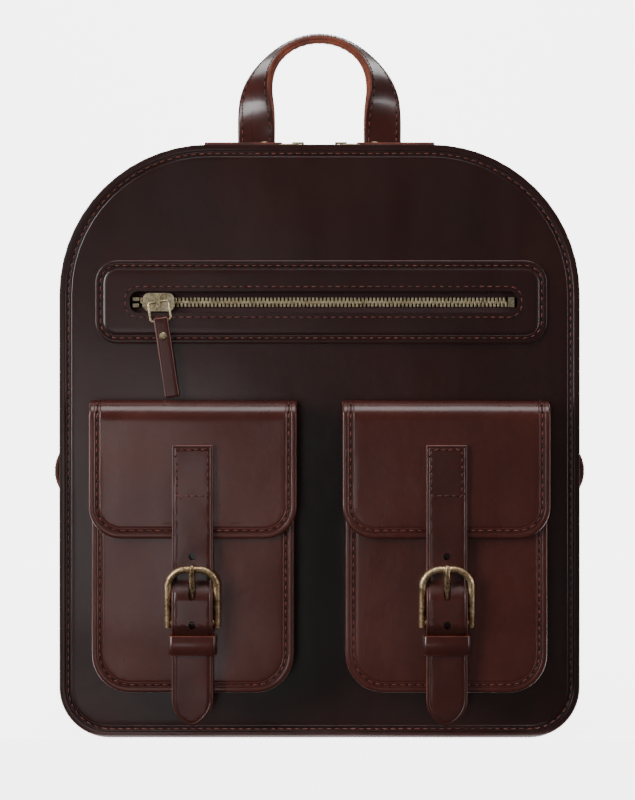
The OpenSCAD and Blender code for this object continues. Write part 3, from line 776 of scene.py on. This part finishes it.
front_pull = folded_pull("front_pull_leather", on_front_pull, raw_edge)
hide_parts("pull_tab")
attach(front_pull, "pull")

# ---------------------------------------------------------------------------------------------
# Front pockets: each a stiff panel with a stitched burnished margin, sewn to a gusset that stands
# 30 mm proud of the bag.

SIDES = (("left", -1), ("right", 1))
pocket_seam, pocket_r = 5.0, 24
gusset_t = 2.2


def strip_band(name, outline, low_y, high_y, thick, belly, materials, rows=8):
    """A gusset: a band of leather that follows an outline, its face bellied in or out between its two
    edges. outline(inset) gives (x, z) points in order along an open line."""
    bm = bmesh.new()
    outer, inner = [], []
    for k in range(rows + 1):
        t = k / rows
        y = low_y + (high_y - low_y) * t
        sag = belly * math.sin(math.pi * t)
        outer.append([bm.verts.new(Vector((x, y, z)) * MM) for x, z in outline(-sag)])
        inner.append([bm.verts.new(Vector((x, y, z)) * MM) for x, z in outline(thick - sag)])
    count = len(outer[0])
    for k in range(rows):
        for i in range(count - 1):
            bm.faces.new((outer[k][i], outer[k][i + 1], outer[k + 1][i + 1], outer[k + 1][i]))
            face = bm.faces.new((inner[k + 1][i], inner[k + 1][i + 1], inner[k][i + 1], inner[k][i]))
            face.material_index = 2
    for k in (0, rows):
        for i in range(count - 1):
            face = bm.faces.new((outer[k][i], inner[k][i], inner[k][i + 1], outer[k][i + 1]))
            face.material_index = 1
    for i in (0, count - 1):
        for k in range(rows):
            face = bm.faces.new((outer[k][i], outer[k + 1][i], inner[k + 1][i], inner[k][i]))
            face.material_index = 1
    return link_mesh(name, finish_mesh(bm, name), materials)


for side, sign in SIDES:
    low, high = box_mm("pocket_panel_" + side)
    width, height, mid_x = high.x - low.x, high.z - low.z, (low.x + high.x) / 2
    ring = round_ring(width, height, pocket_r, 3, 10, 16, 24)

    def on_pocket(u, v, d, mid_x=mid_x, back=high.y, base=low.z):
        """A point of a pocket's panel."""
        return (mid_x + u, back - d, base + v)

    thick = high.y - low.y
    panel = leather_sheet(f"pocket_{side}_panel", ring, sewn_margin(pocket_seam, 1.1), thick, on_pocket, 8,
                          [pocket_leather_painted_sheen, burnished_edge, flesh], swell=soft_wave(45, 0.8, 11.3 + sign))
    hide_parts("pocket_panel_" + side)
    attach(panel, "bag")
    seam = sew(f"pocket_{side}_stitches", [(seam_on(ring, pocket_seam, on_pocket, thick - 0.1), True)])
    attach(seam, "bag")

    def pocket_outline(inset, width=width, height=height, mid_x=mid_x, base=low.z):
        """Down the left side, round the bottom and up the right."""
        r = max(pocket_r - inset, 1)
        half = width / 2 - inset
        arc = [(-half + r - r * math.cos(math.radians(a)), inset + r - r * math.sin(math.radians(a)))
               for a in range(0, 91, 9)]
        left = [(-half, height * (1 - k / 8) + (inset + r) * k / 8) for k in range(8)]
        points = left + arc
        return [(mid_x + x, base + z) for x, z in points + [(-x, z) for x, z in reversed(points)]]

    gusset = strip_band(f"pocket_{side}_gusset", pocket_outline, high.y, body_low[1] / MM, gusset_t, -1.5,
                        [gusset_leather, burnished_edge, flesh])
    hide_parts("pocket_gusset_" + side)
    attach(gusset, "bag")

# ---------------------------------------------------------------------------------------------
# Pocket flaps: one sheet each, folded forward over the pocket and down; its top runs back flat to the bag,
# and the lip it is sewn under is not drawn.
# A row of stitches runs near the free edges; the flesh side shows rust underneath.

flap_seam, hinge_gap = 5.0, 14
for side, sign in SIDES:
    low, high = box_mm("flap_" + side)
    flap_w, fold_r, mid_x = high.x - low.x, 12.0, (low.x + high.x) / 2
    drop = high.z - fold_r - low.z
    neutral = fold_r - leather_t
    arc = neutral * math.pi / 2
    level = (body_low[1] / MM) - (low.y + fold_r)
    flap_len = drop + arc + level

    def on_flap(u, v, d, low=low, high=high, mid_x=mid_x, drop=drop):
        """v runs up the hanging part, over the fold and back to the bag."""
        if v <= drop:
            return (mid_x + u, low.y + leather_t - d, low.z + v)
        if v <= drop + arc:
            a = (v - drop) / neutral
            r = neutral + d
            return (mid_x + u, low.y + fold_r - r * math.cos(a), high.z - fold_r + r * math.sin(a))
        return (mid_x + u, low.y + fold_r + v - drop - arc, high.z - leather_t + d)

    ring = round_ring(flap_w, flap_len, 20, 1, 10, 18, 40)
    flap = leather_sheet(f"flap_{side}_leather", ring, sewn_margin(flap_seam, 1.0), leather_t, on_flap,
                         (10, 2), [pocket_leather_painted_sheen, raw_edge, flesh],
                         swell=soft_wave(38, 0.5, 21.9 + 2 * sign))
    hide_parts("flap_" + side, "flap_lips")
    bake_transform(flap)
    # the row leaves the hinge free: it goes down the left side, round the bottom and up the right
    lower = [(u, v) for u, v in ring(flap_seam) if v < flap_len - hinge_gap]
    start = next(i for i, (u, v) in enumerate(lower) if lower[i - 1][0] > 0 > u and v > 40)
    line = lower[start:] + lower[:start]
    seam = sew(f"flap_{side}_stitches", [([on_flap(u, v, stitch_level) for u, v in line], False)], 5.3)
    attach(seam, "flap_" + side)

# ---------------------------------------------------------------------------------------------
# Flap straps: thick strap leather with a pointed tip and punched holes, sewn to the flap in a box at
# its top. Each bulges over the heel bar of its buckle and runs down through a keeper.

strap_thick = 2.8
hole_r, strap_holes, slit_z = 2.2, (75, 117), 90


def strap_back(z):
    """Distance of the strap's back from the pocket face at a height."""
    def ease(low, high):
        t = min(max((z - low) / (high - low), 0), 1)
        return (1 - math.cos(math.pi * t)) / 2
    return 4 + 3.8 * ease(68, 74) - 4.9 * ease(90, 103)


for side, sign in SIDES:
    low, high = box_mm("flap_strap_" + side)
    width, length, mid_x = high.x - low.x, high.z - low.z, (low.x + high.x) / 2
    face_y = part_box("pocket_panel_" + side)[0][1] / MM
    tip = 17.0
    tip_r = (width * width / 4 + tip * tip) / width

    def strap_ring(inset, width=width, length=length):
        """Up the right side, across the square top, down the left and round the pointed tip."""
        half, r = width / 2 - inset, tip_r - inset
        right = [(half, tip + (length - inset - tip) * k / 60) for k in range(60)]
        top = [(half - 2 * half * k / 8, length - inset) for k in range(8)]
        left = [(-half, length - inset - (length - inset - tip) * k / 60) for k in range(60)]
        end = math.acos(max(-1, (tip_r - width / 2) / r))
        turns = [end * k / 10 for k in range(11)]
        curve = [(r * math.cos(a) - (tip_r - width / 2), tip - r * math.sin(a)) for a in turns]
        return right + top + left + [(-u, v) for u, v in curve[:-1]] + list(reversed(curve[1:]))

    def on_strap(u, v, d, low=low, mid_x=mid_x, face_y=face_y):
        """A point of a flap strap, square to the strap's slope."""
        z = low.z + v
        slope = strap_back(z + 0.5) - strap_back(z - 0.5)
        return (mid_x + u, face_y - strap_back(z) - d / math.sqrt(1 + slope * slope), z - d * slope * 0.5)

    strap_profile = [(0, -0.7), (0.2, -0.25), (0.6, 0), (1.6, 0.05), (1.8, -0.1), (2.0, 0.05), (4, 0.1)]
    strap = leather_sheet(f"flap_strap_{side}_leather", strap_ring, strap_profile, strap_thick, on_strap,
                          (6, 2), [strap_leather, raw_edge, flesh], swell=soft_wave(16, 0.3, 31.7 + sign))
    for hole_z in strap_holes:
        turns = [step * math.pi / 10 for step in range(20)]
        circle = [(hole_r * math.cos(a), hole_z - low.z + hole_r * math.sin(a)) for a in turns]
        cut_through(strap, prism("hole_cutter", circle, on_strap))
    slit = round_ring(4.4, 12, 2.1, 2.1, 4, 2, 2)
    cut_through(strap, prism("slit_cutter", [(u, v + slit_z - low.z) for u, v in slit(0)], on_strap))
    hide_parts("flap_strap_" + side)
    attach(strap, "flap_" + side)
    box_ring = round_ring(width - 6.4, 28.5, 0.6, 0.6, 2, 6, 8)
    base = length - 31.5
    box_line = [on_strap(u, v + base, strap_thick - 0.05) for u, v in box_ring(0)]
    seam = sew(f"flap_strap_{side}_stitches", [(box_line, True)], 4.6)
    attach(seam, "flap_" + side)

# ---------------------------------------------------------------------------------------------
# Buckles: cast D frames in antiqued brass, held by a folded chape behind the strap. Each prong is a
# round rod bent through the strap's hole to lie on the arch; a leather keeper holds the tail.


def swept(name, path, radius, materials, sides=10, taper=None):
    """A round rod along a path of points in millimetres, closed at both ends."""
    bm = bmesh.new()
    rings = []
    for i, p in enumerate(path):
        ahead = Vector(path[min(i + 1, len(path) - 1)]) - Vector(path[max(i - 1, 0)])
        side = Vector((1, 0, 0)) if abs(ahead.normalized().x) < 0.9 else Vector((0, 0, 1))
        u = ahead.cross(side).normalized()
        w = ahead.cross(u).normalized()
        r = radius * (taper(i / (len(path) - 1)) if taper else 1)
        rings.append([bm.verts.new((Vector(p) + (u * math.cos(2 * math.pi * k / sides)
                                                 + w * math.sin(2 * math.pi * k / sides)) * r) * MM)
                      for k in range(sides)])
    for low_ring, high_ring in zip(rings, rings[1:]):
        for k in range(sides):
            bm.faces.new((low_ring[k], low_ring[(k + 1) % sides], high_ring[(k + 1) % sides], high_ring[k]))
    bm.faces.new(rings[0])
    bm.faces.new(list(reversed(rings[-1])))
    return link_mesh(name, finish_mesh(bm, name), materials)


def rounded_loop(name, half_w, half_d, corner, centre, low_z, height, thick, materials):
    """A keeper: a leather band closed in a rounded rectangle, seen from above, with rounded edges."""
    bm = bmesh.new()
    section = [(0, 0.4), (0.35, 0), (thick - 0.35, 0), (thick, 0.4),
               (thick, height - 0.4), (thick - 0.35, height), (0.35, height), (0, height - 0.4)]
    loop = []
    for cx, cy, start in ((1, 1, 0), (-1, 1, 90), (-1, -1, 180), (1, -1, 270)):
        turns = [math.radians(start + a) for a in range(0, 91, 15)]
        loop += [(cx * (half_w - corner), cy * (half_d - corner), a) for a in turns]
    rings = []
    for x, y, a in loop:
        rings.append([bm.verts.new(Vector((centre[0] + x + (corner + s) * math.cos(a),
                                           centre[1] + y + (corner + s) * math.sin(a), low_z + z)) * MM)
                      for s, z in section])
    count = len(rings)
    for i in range(count):
        here, ahead = rings[i], rings[(i + 1) % count]
        for k in range(len(section)):
            n = (k + 1) % len(section)
            face = bm.faces.new((here[k], ahead[k], ahead[n], here[n]))
            face.material_index = {3: 0, 7: 2}.get(k, 1)
    return link_mesh(name, finish_mesh(bm, name), materials)


prong_r, heel_r = 1.7, 3.2
for side, sign in SIDES:
    face_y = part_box("pocket_panel_" + side)[0][1] / MM
    low, high = box_mm("keeper_" + side)
    mid_x = (low.x + high.x) / 2
    half_d = (high.y - low.y) / 2 - 1.4
    keeper = rounded_loop(f"keeper_{side}_leather", (high.x - low.x) / 2 - 1.4, half_d, 1.2,
                          (mid_x, (low.y + high.y) / 2), low.z, high.z - low.z, 1.5,
                          [strap_leather, raw_edge, flesh])
    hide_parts("keeper_" + side)
    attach(keeper, "flap_" + side)

    heel = Vector(joint_place(f"prong_{side}_lift")) / MM
    bends = [(3.4, 79.3), (4.3, 83), (4.7, 87), (5.4, 91), (7.4, 96),
             (9.8, 101), (12.0, 106), (13.4, 110), (13.7, 112)]
    prong = swept(f"prong_{side}_rod", [(mid_x, face_y - d, z) for d, z in bends], prong_r, [buckle_brass],
                  taper=lambda t: 1.0 if t < 0.9 else 1.0 - 3.5 * (t - 0.9))
    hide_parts("prong_" + side)
    eye_loop = swept(f"prong_{side}_eye", [(mid_x + x, heel.y, heel.z) for x in (-prong_r, prong_r)], heel_r,
                     [buckle_brass], 16)
    for piece in (prong, eye_loop):
        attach(piece, "prong_" + side)

# ---------------------------------------------------------------------------------------------
# Body gusset: a band of leather round the sides and base, with two narrower bands over the top that
# leave a slit for the main zip. Both edges are sewn to the panels.

back_low, back_high = box_mm("back_panel")
split_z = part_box("base_gusset")[1][2] / MM


def body_arch(inset, over_top):
    """Open line along the body's outline: over the top, or down the sides and under the base."""
    r = (top_r if over_top else bottom_r) - inset
    half = body_w / 2 - inset
    end = body_h - inset if over_top else inset
    centre = end - r if over_top else end + r
    turn = 1 if over_top else -1
    side = [(-half, split_z + (centre - split_z) * k / 10) for k in range(10)]
    curve = [(-half + r - r * math.cos(math.radians(a)), centre + turn * r * math.sin(math.radians(a)))
             for a in range(0, 91, 5)]
    flat = [(-half + r + (2 * (half - r)) * k / 12, end) for k in range(1, 12)]
    return side + curve + flat + [(-x, z) for x, z in reversed(side + curve)]


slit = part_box("zip_gusset_back")[0][1] / MM
inner_front, inner_back = front_face + leather_t, back_low.y
for name, node, low_y, high_y, over_top in (
        ("base_gusset_leather", "base_gusset", inner_front, inner_back, False),
        ("zip_gusset_front_leather", "zip_gusset_front", inner_front, -slit, True),
        ("zip_gusset_back_leather", "zip_gusset_back", slit, inner_back, True)):
    band = strip_band(name, lambda inset, over_top=over_top: body_arch(inset, over_top), low_y, high_y,
                      gusset_t, 0.0, [gusset_leather, burnished_edge, flesh])
    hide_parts(node)
    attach(band, "bag")

zip_margin, teeth_inset = 3, 2.6
seam_rows = (-slit - zip_margin, slit + zip_margin)
zip_seams = [([(x, y, z) for x, z in body_arch(0, True)], False) for y in seam_rows]
gusset_stitches = sew("gusset_stitches", zip_seams)
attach(gusset_stitches, "bag")

main_line = [(x, 0, z) for x, z in body_arch(teeth_inset, True)]
main_teeth = fit_teeth("main_zip_teeth", main_line, (0.0, 1.0, 0.0))
bpy.data.objects.remove(tooth)
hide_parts("main_teeth_front", "main_teeth_back")
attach(main_teeth, "bag")


def on_back(u, v, d):
    """A point of the back panel."""
    return (u, back_low.y + d, v)


back_panel = leather_sheet("back_panel_leather", body_ring, sewn_margin(SEAM, 1.6), leather_t, on_back, 12,
                           [panel_leather, burnished_edge, flesh], swell=soft_wave(70, 0.5, 5.3))
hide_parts("back_panel")
back_stitches = sew("back_panel_stitches", [(seam_on(body_ring, SEAM, on_back, stitch_level), True)])
for piece in (back_panel, back_stitches):
    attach(piece, "bag")

# ---------------------------------------------------------------------------------------------
# Handle: two plies of strap leather sewn together, set flat on the back panel at both ends and
# twisted a quarter turn at the top. Its cut edges show rust with a dark line between the plies.

_, handle_y, foot_z = (c / MM for c in joint_place("handle_fold"))
span, leg, rise, strap_w, handle_t = 85, 34, 78, 25, 5
under_yoke, top_turn = 50, 79


def handle_line(count=72):
    """Middle points of the loop with the turn of its face, from the foot of one leg to the other."""
    half = span / 2
    low = foot_z - under_yoke
    points = [(-half, low + (foot_z + leg - low) * k / 14) for k in range(14)]
    turns = [math.pi * k / count for k in range(count + 1)]
    points += [(-half * math.cos(a), foot_z + leg + (rise - leg) * math.sin(a)) for a in turns]
    points += [(half, z) for _, z in reversed(points[:14])]
    made = []
    for i, (x, z) in enumerate(points):
        before, after = points[max(i - 1, 0)], points[min(i + 1, len(points) - 1)]
        ahead = Vector((after[0] - before[0], after[1] - before[1])).normalized()
        t = min(max((z - foot_z - 6) / (rise - 8), 0), 1)
        turn = math.radians(top_turn) * t * t * (3 - 2 * t)
        made.append((x, z, Vector((-ahead.y, 0, ahead.x)), turn))
    return made


def handle_point(station, across, through):
    """A point of the handle at a station, across its width and through its thickness."""
    x, z, out, turn = station
    wide = out * math.cos(turn) + Vector((0, math.sin(turn), 0))
    thick = Vector((0, math.cos(turn), 0)) - out * math.sin(turn)
    return Vector((x, handle_y, z)) + wide * across + thick * through


stations = handle_line()
half_w, half_t = strap_w / 2, handle_t / 2
section = [(-half_w, -half_t + 0.6), (-half_w + 0.5, -half_t + 0.1), (-half_w + 1.2, -half_t),
           (-half_w + 3, -half_t - 0.05), (0, -half_t - 0.2)]
section += [(-a, b) for a, b in reversed(section[:-1])]
edge_line = [(half_w, -0.25), (half_w - 0.25, 0), (half_w, 0.25)]
loop = section + edge_line
loop += [(a, -b) for a, b in reversed(section)] + [(-a, b) for a, b in reversed(edge_line)]
bm = bmesh.new()
rings = [[bm.verts.new(handle_point(s, a, b) * MM) for a, b in loop] for s in stations]
for low_ring, high_ring in zip(rings, rings[1:]):
    for k in range(len(loop)):
        n = (k + 1) % len(loop)
        face = bm.faces.new((low_ring[k], low_ring[n], high_ring[n], high_ring[k]))
        on_edge = abs(loop[k][0]) > half_w - 0.6 and abs(loop[n][0]) > half_w - 0.6
        face.material_index = 1 if on_edge else 0
bm.faces.new(rings[0])
bm.faces.new(list(reversed(rings[-1])))
handle = link_mesh("handle_leather", finish_mesh(bm, "handle_leather"), [strap_leather, raw_edge])
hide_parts("handle", "handle_ends")
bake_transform(handle)
visible = [s for s in stations if s[1] > foot_z - 2]
rows = [([handle_point(s, a, b) for s in visible], False)
        for a in (-half_w + 3.2, half_w - 3.2) for b in (-half_t - 0.1, half_t + 0.1)]
handle_stitches = sew("handle_stitches", rows, 5.3)
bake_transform(handle_stitches)

# ---------------------------------------------------------------------------------------------
# Chapes: short strips of strap leather folded round each buckle's heel bar and sewn behind the strap.


def follow(path):
    """Turns a distance along a path and a height to its left into a point of the path's plane."""
    reach = [0.0]
    for a, b in zip(path, path[1:]):
        reach.append(reach[-1] + math.dist(a, b))
    sides = []
    for i in range(len(path)):
        a, b = path[max(i - 1, 0)], path[min(i + 1, len(path) - 1)]
        run = math.dist(a, b)
        sides.append((-(b[1] - a[1]) / run, (b[0] - a[0]) / run))

    def at(v, d):
        v = min(max(v, 0.0), reach[-1])
        i = next(k for k in range(len(reach) - 1) if v <= reach[k + 1] or k == len(reach) - 2)
        t = (v - reach[i]) / (reach[i + 1] - reach[i])
        return tuple(path[i][k] + (path[i + 1][k] - path[i][k]) * t
                     + (sides[i][k] + (sides[i + 1][k] - sides[i][k]) * t) * d for k in (0, 1))
    return at, reach[-1]


def bend_round(centre, radius, first, last, steps=8):
    """Points of an arc, angles in degrees."""
    return [(centre[0] + radius * math.cos(math.radians(first + (last - first) * k / steps)),
             centre[1] + radius * math.sin(math.radians(first + (last - first) * k / steps)))
            for k in range(steps + 1)]


def leather_strip(name, width, path, thick, place, materials, seam=None, cut=2.0, round_end=0.6):
    """A strap of leather that follows a path in a plane; place(u, (a, b)) puts it in space."""
    at, length = follow(path)
    ring = round_ring(width, length, round_end, round_end, 4, 6, max(8, int(length / 3)))
    profile = [(0, -0.5), (0.25, -0.15), (0.7, 0.0), (1.4, 0.05)]
    strip = leather_sheet(name, ring, profile, thick, lambda u, v, d: place(u, at(v, d)), (width / 3, cut),
                          materials)
    if seam is None:
        return strip, None
    line = [place(u, at(v, thick)) for u, v in ring(seam)]
    return strip, sew(name + "_stitches", [(line, True)], 5.1)


for side, sign in SIDES:
    low, high = box_mm("chape_" + side)
    mid_x = (low.x + high.x) / 2
    face_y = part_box("pocket_panel_" + side)[0][1] / MM
    path = [(2.3, low.z), (2.3, 60), (2.0, 68), (1.0, 73)]
    path += bend_round((3.4, 76), 2.5, 180, 10)
    path += [(5.2, 72), (3.9, 66), (3.5, 52)]
    chape, _ = leather_strip(f"chape_{side}_leather", high.x - low.x, path, 1.1,
                             lambda u, p, mid_x=mid_x, face_y=face_y: (mid_x + u, face_y - p[0], p[1]),
                             [strap_leather, raw_edge, flesh], cut=1.5)
    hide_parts("chape_" + side)
    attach(chape, "flap_" + side)

# ---------------------------------------------------------------------------------------------
# Main zip: two cast sliders meet at the top, each with a wire ring and a folded leather pull lying
# outwards. Bowed leather tabs cover the ends of the zip at both sides.

rivet_at = 22
tab_w, tab_len, tab_r, tab_proud, tab_margin = 26, 36.6, 23.4, 6.8, 3.6
for side, sign in SIDES:
    eye_x, _, eye_z = (c / MM for c in joint_place(f"main_pull_{side}_lift"))

    def on_top(u, v, d, sign=sign, eye_x=eye_x, eye_z=eye_z):
        """A point of a main pull, which lies flat on top and points outwards."""
        return (eye_x + sign * (ring_drop + pull_len - v), u * sign, eye_z - pull_thick / 2 + d)

    pull = folded_pull(f"main_pull_{side}_leather", on_top, burnished_edge)
    outline = []
    for cx, cy, first in ((4.2, 4.7, 0), (-4.2, 4.7, 90), (-4.2, -4.7, 180), (4.2, -4.7, 270)):
        outline += bend_round((cx, cy), 1.8, first, first + 90, 4)
    wire = [(eye_x + sign * (6 + a), b, eye_z) for a, b in outline + [(6.0, 4.7)]]
    ring_wire = swept(f"main_pull_{side}_ring", wire, 0.7, [zip_brass], 8)
    stud_line = [(eye_x + sign * rivet_at, 0, eye_z + h) for h in (0, 1.6, 2.3, 2.6)]
    stud = swept(f"main_pull_{side}_rivet", stud_line, 2.3, [zip_brass], 16,
                 taper=lambda t: 1.0 if t < 0.5 else 0.9 if t < 0.9 else 0.5)
    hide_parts("main_pull_" + side)
    for piece in (pull, ring_wire, stud):
        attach(piece, "main_pull_" + side)

    def on_tab(u, v, d, sign=sign):
        """A point of a tab, bowed outwards over the end of the zip."""
        a = (v - tab_len / 2) / tab_r
        r = tab_r - leather_t + d
        out = body_w / 2 + tab_proud - tab_r + r * math.cos(a)
        return (sign * out, u * sign, split_z + r * math.sin(a))

    tab_ring = round_ring(tab_w, tab_len, 3, 3, 5, 6, 12)
    tab = leather_sheet(f"zip_end_tab_{side}_leather", tab_ring, sewn_margin(tab_margin, 1.0)[:-1], leather_t,
                        on_tab, (6, 2), [panel_leather, burnished_edge, flesh])
    tab_line = seam_on(tab_ring, tab_margin, on_tab, stitch_level)
    tab_seam = sew(f"zip_end_tab_{side}_stitches", [(tab_line, True)], 4.8)
    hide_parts("zip_end_tab_" + side)
    for piece in (tab, tab_seam):
        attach(piece, "bag")

# ---------------------------------------------------------------------------------------------
# Pouch of plain woven cotton behind the front zip, seen only through the open slot.


def woven_cotton():
    """Unbleached cotton lining, dyed brown: a plain weave at 0.8 mm."""
    made, tree, shader = new_material("woven_cotton_lining")
    coords = object_coords(tree)
    warp = wave_over(tree, coords, 390.0, 1.0)
    weft = wave_over(tree, coords, 390.0, 1.0, "Z")
    weave = first_out(tree, "ShaderNodeMath", links={0: warp, 1: weft}, operation="MULTIPLY")
    colour_by(tree, shader, weave, [(0.1, "2a1c14"), (0.7, "4a3526")])
    bump_by(tree, shader, weave, 0.4, 0.0003)
    shader.inputs["Roughness"].default_value = 0.9
    return made


paint(woven_cotton(), "zip_pouch")

# ---------------------------------------------------------------------------------------------
# Back yoke: a band of leather sewn over the ends of the handle and the shoulder straps.

yoke_low, yoke_high = box_mm("back_yoke")
yoke_ring = round_ring(yoke_high.x - yoke_low.x, yoke_high.z - yoke_low.z, 12, 12, 8, 30, 6)


def on_yoke(u, v, d):
    """A point of the yoke, which lies on the back panel."""
    return (u, yoke_low.y + d, yoke_low.z + v)


yoke_t, yoke_seam = yoke_high.y - yoke_low.y, 5
yoke = leather_sheet("back_yoke_leather", yoke_ring, sewn_margin(yoke_seam, 1.0), yoke_t, on_yoke, 8,
                     [panel_leather, burnished_edge, flesh], swell=soft_wave(40, 0.3, 17.0))
yoke_stitches = sew("back_yoke_stitches", [(seam_on(yoke_ring, yoke_seam, on_yoke, yoke_t - 0.1), True)])
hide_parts("back_yoke")
for piece in (yoke, yoke_stitches):
    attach(piece, "bag")

# ---------------------------------------------------------------------------------------------
# Shoulder straps: a padded upper strap from under the yoke, a brass adjuster, and a lower strap that
# loops on a ring. The ring hangs in a tab sewn to the back near its lower corner.

strap_top, strap_low = Vector((82, 314)), Vector((118, 50))
strap_run = (strap_top - strap_low).length
lean_x, lean_z = (strap_low - strap_top) / strap_run
back_y = back_high.y
padded_w, lower_w, adjuster_at = 38, 22, 163


def bow(s):
    """Outward position of a shoulder strap's inner face at a distance down its run."""
    return back_y + 6 + 34.2 * max(math.sin(math.pi * min(max(s, 0), strap_run) / strap_run), 0) ** 0.8


for side, sign in SIDES:

    def on_back_strap(u, p, sign=sign):
        """u runs across the strap and p is (outward position, distance down the run)."""
        x = strap_top.x + lean_x * p[1] - lean_z * u
        return (sign * x, p[0], strap_top.y + lean_z * p[1] + lean_x * u)

    body = "shoulder_" + side
    start = on_back_strap(0, (back_y + 5, -2))
    path = [(back_y + 0.4, -34), (back_y + 0.4, -12), (back_y + 1.6, -6), (back_y + 5, 0)]
    path += [(bow(s), s) for s in range(5, adjuster_at, 5)] + [(bow(adjuster_at), adjuster_at)]
    at, length = follow(list(reversed(path)))
    ring = round_ring(padded_w, length, 7, 3, 6, 12, 60)
    padding = sewn_margin(5, 1.0)[:-1] + [(8.5, 0.5), (10, 1.3), (12.5, 1.9), (16, 2.1)]
    upper = leather_sheet(f"shoulder_{side}_padded", ring, padding, 3.4,
                          lambda u, v, d, at=at, place=on_back_strap: place(u, at(v, d)), (4, 4),
                          [strap_leather, raw_edge, flesh])
    upper_seam = sew(f"shoulder_{side}_padded_stitches",
                     [([on_back_strap(u, at(v, 3.3)) for u, v in ring(5)], True)], 5.3)
    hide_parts("shoulder_upper_" + side, "shoulder_ends")
    for piece in (upper, upper_seam):
        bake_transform(piece)

    lower = [(bow(s) + 1.2, s) for s in range(166, 258, 4)] + [(bow(257) + 0.4, 257)]
    lower += [(back_y + 7 + a, strap_run - 6 + b) for a, b in bend_round((0, 0), 2.0, 0, 180)]
    lower += [(back_y + 5.4, strap_run - 12), (back_y + 8.5, strap_run - 24), (bow(236) - 1.6, 236)]
    strap, seam = leather_strip(f"shoulder_{side}_lower", lower_w, list(reversed(lower)), 1.3, on_back_strap,
                                [strap_leather, raw_edge, flesh], seam=3.2, cut=3)
    loop = [(bow(150) + 0.4, 150), (bow(162) + 0.2, 162), (bow(166) + 0.3, 166)]
    loop += [(bow(169) + 2.5 + a, 166 + b) for a, b in bend_round((0, 0), 3.0, 180, 0)]
    loop += [(bow(160) + 5.6, 160), (bow(150) + 5.2, 150)]
    hold, _ = leather_strip(f"shoulder_{side}_loop", lower_w, loop, 1.2, on_back_strap,
                            [strap_leather, raw_edge, flesh])
    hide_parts("shoulder_lower_" + side)
    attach(hold, body)
    for piece in (strap, seam):
        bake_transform(piece)

    tab = [(back_y + 0.8, strap_run + 28), (back_y + 0.8, strap_run + 14), (back_y + 4.0, strap_run + 8)]
    tab += [(back_y + 7 + a, strap_run + 6 + b) for a, b in bend_round((0, 0), 2.2, 180, 360)]
    tab += [(back_y + 5.0, strap_run + 13), (back_y + 2.4, strap_run + 20), (back_y + 2.3, strap_run + 28)]
    anchor, _ = leather_strip(f"ring_tab_{side}_leather", lower_w, list(reversed(tab)), 1.3, on_back_strap,
                              [strap_leather, raw_edge, flesh])
    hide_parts("ring_tabs")
    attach(anchor, "bag")
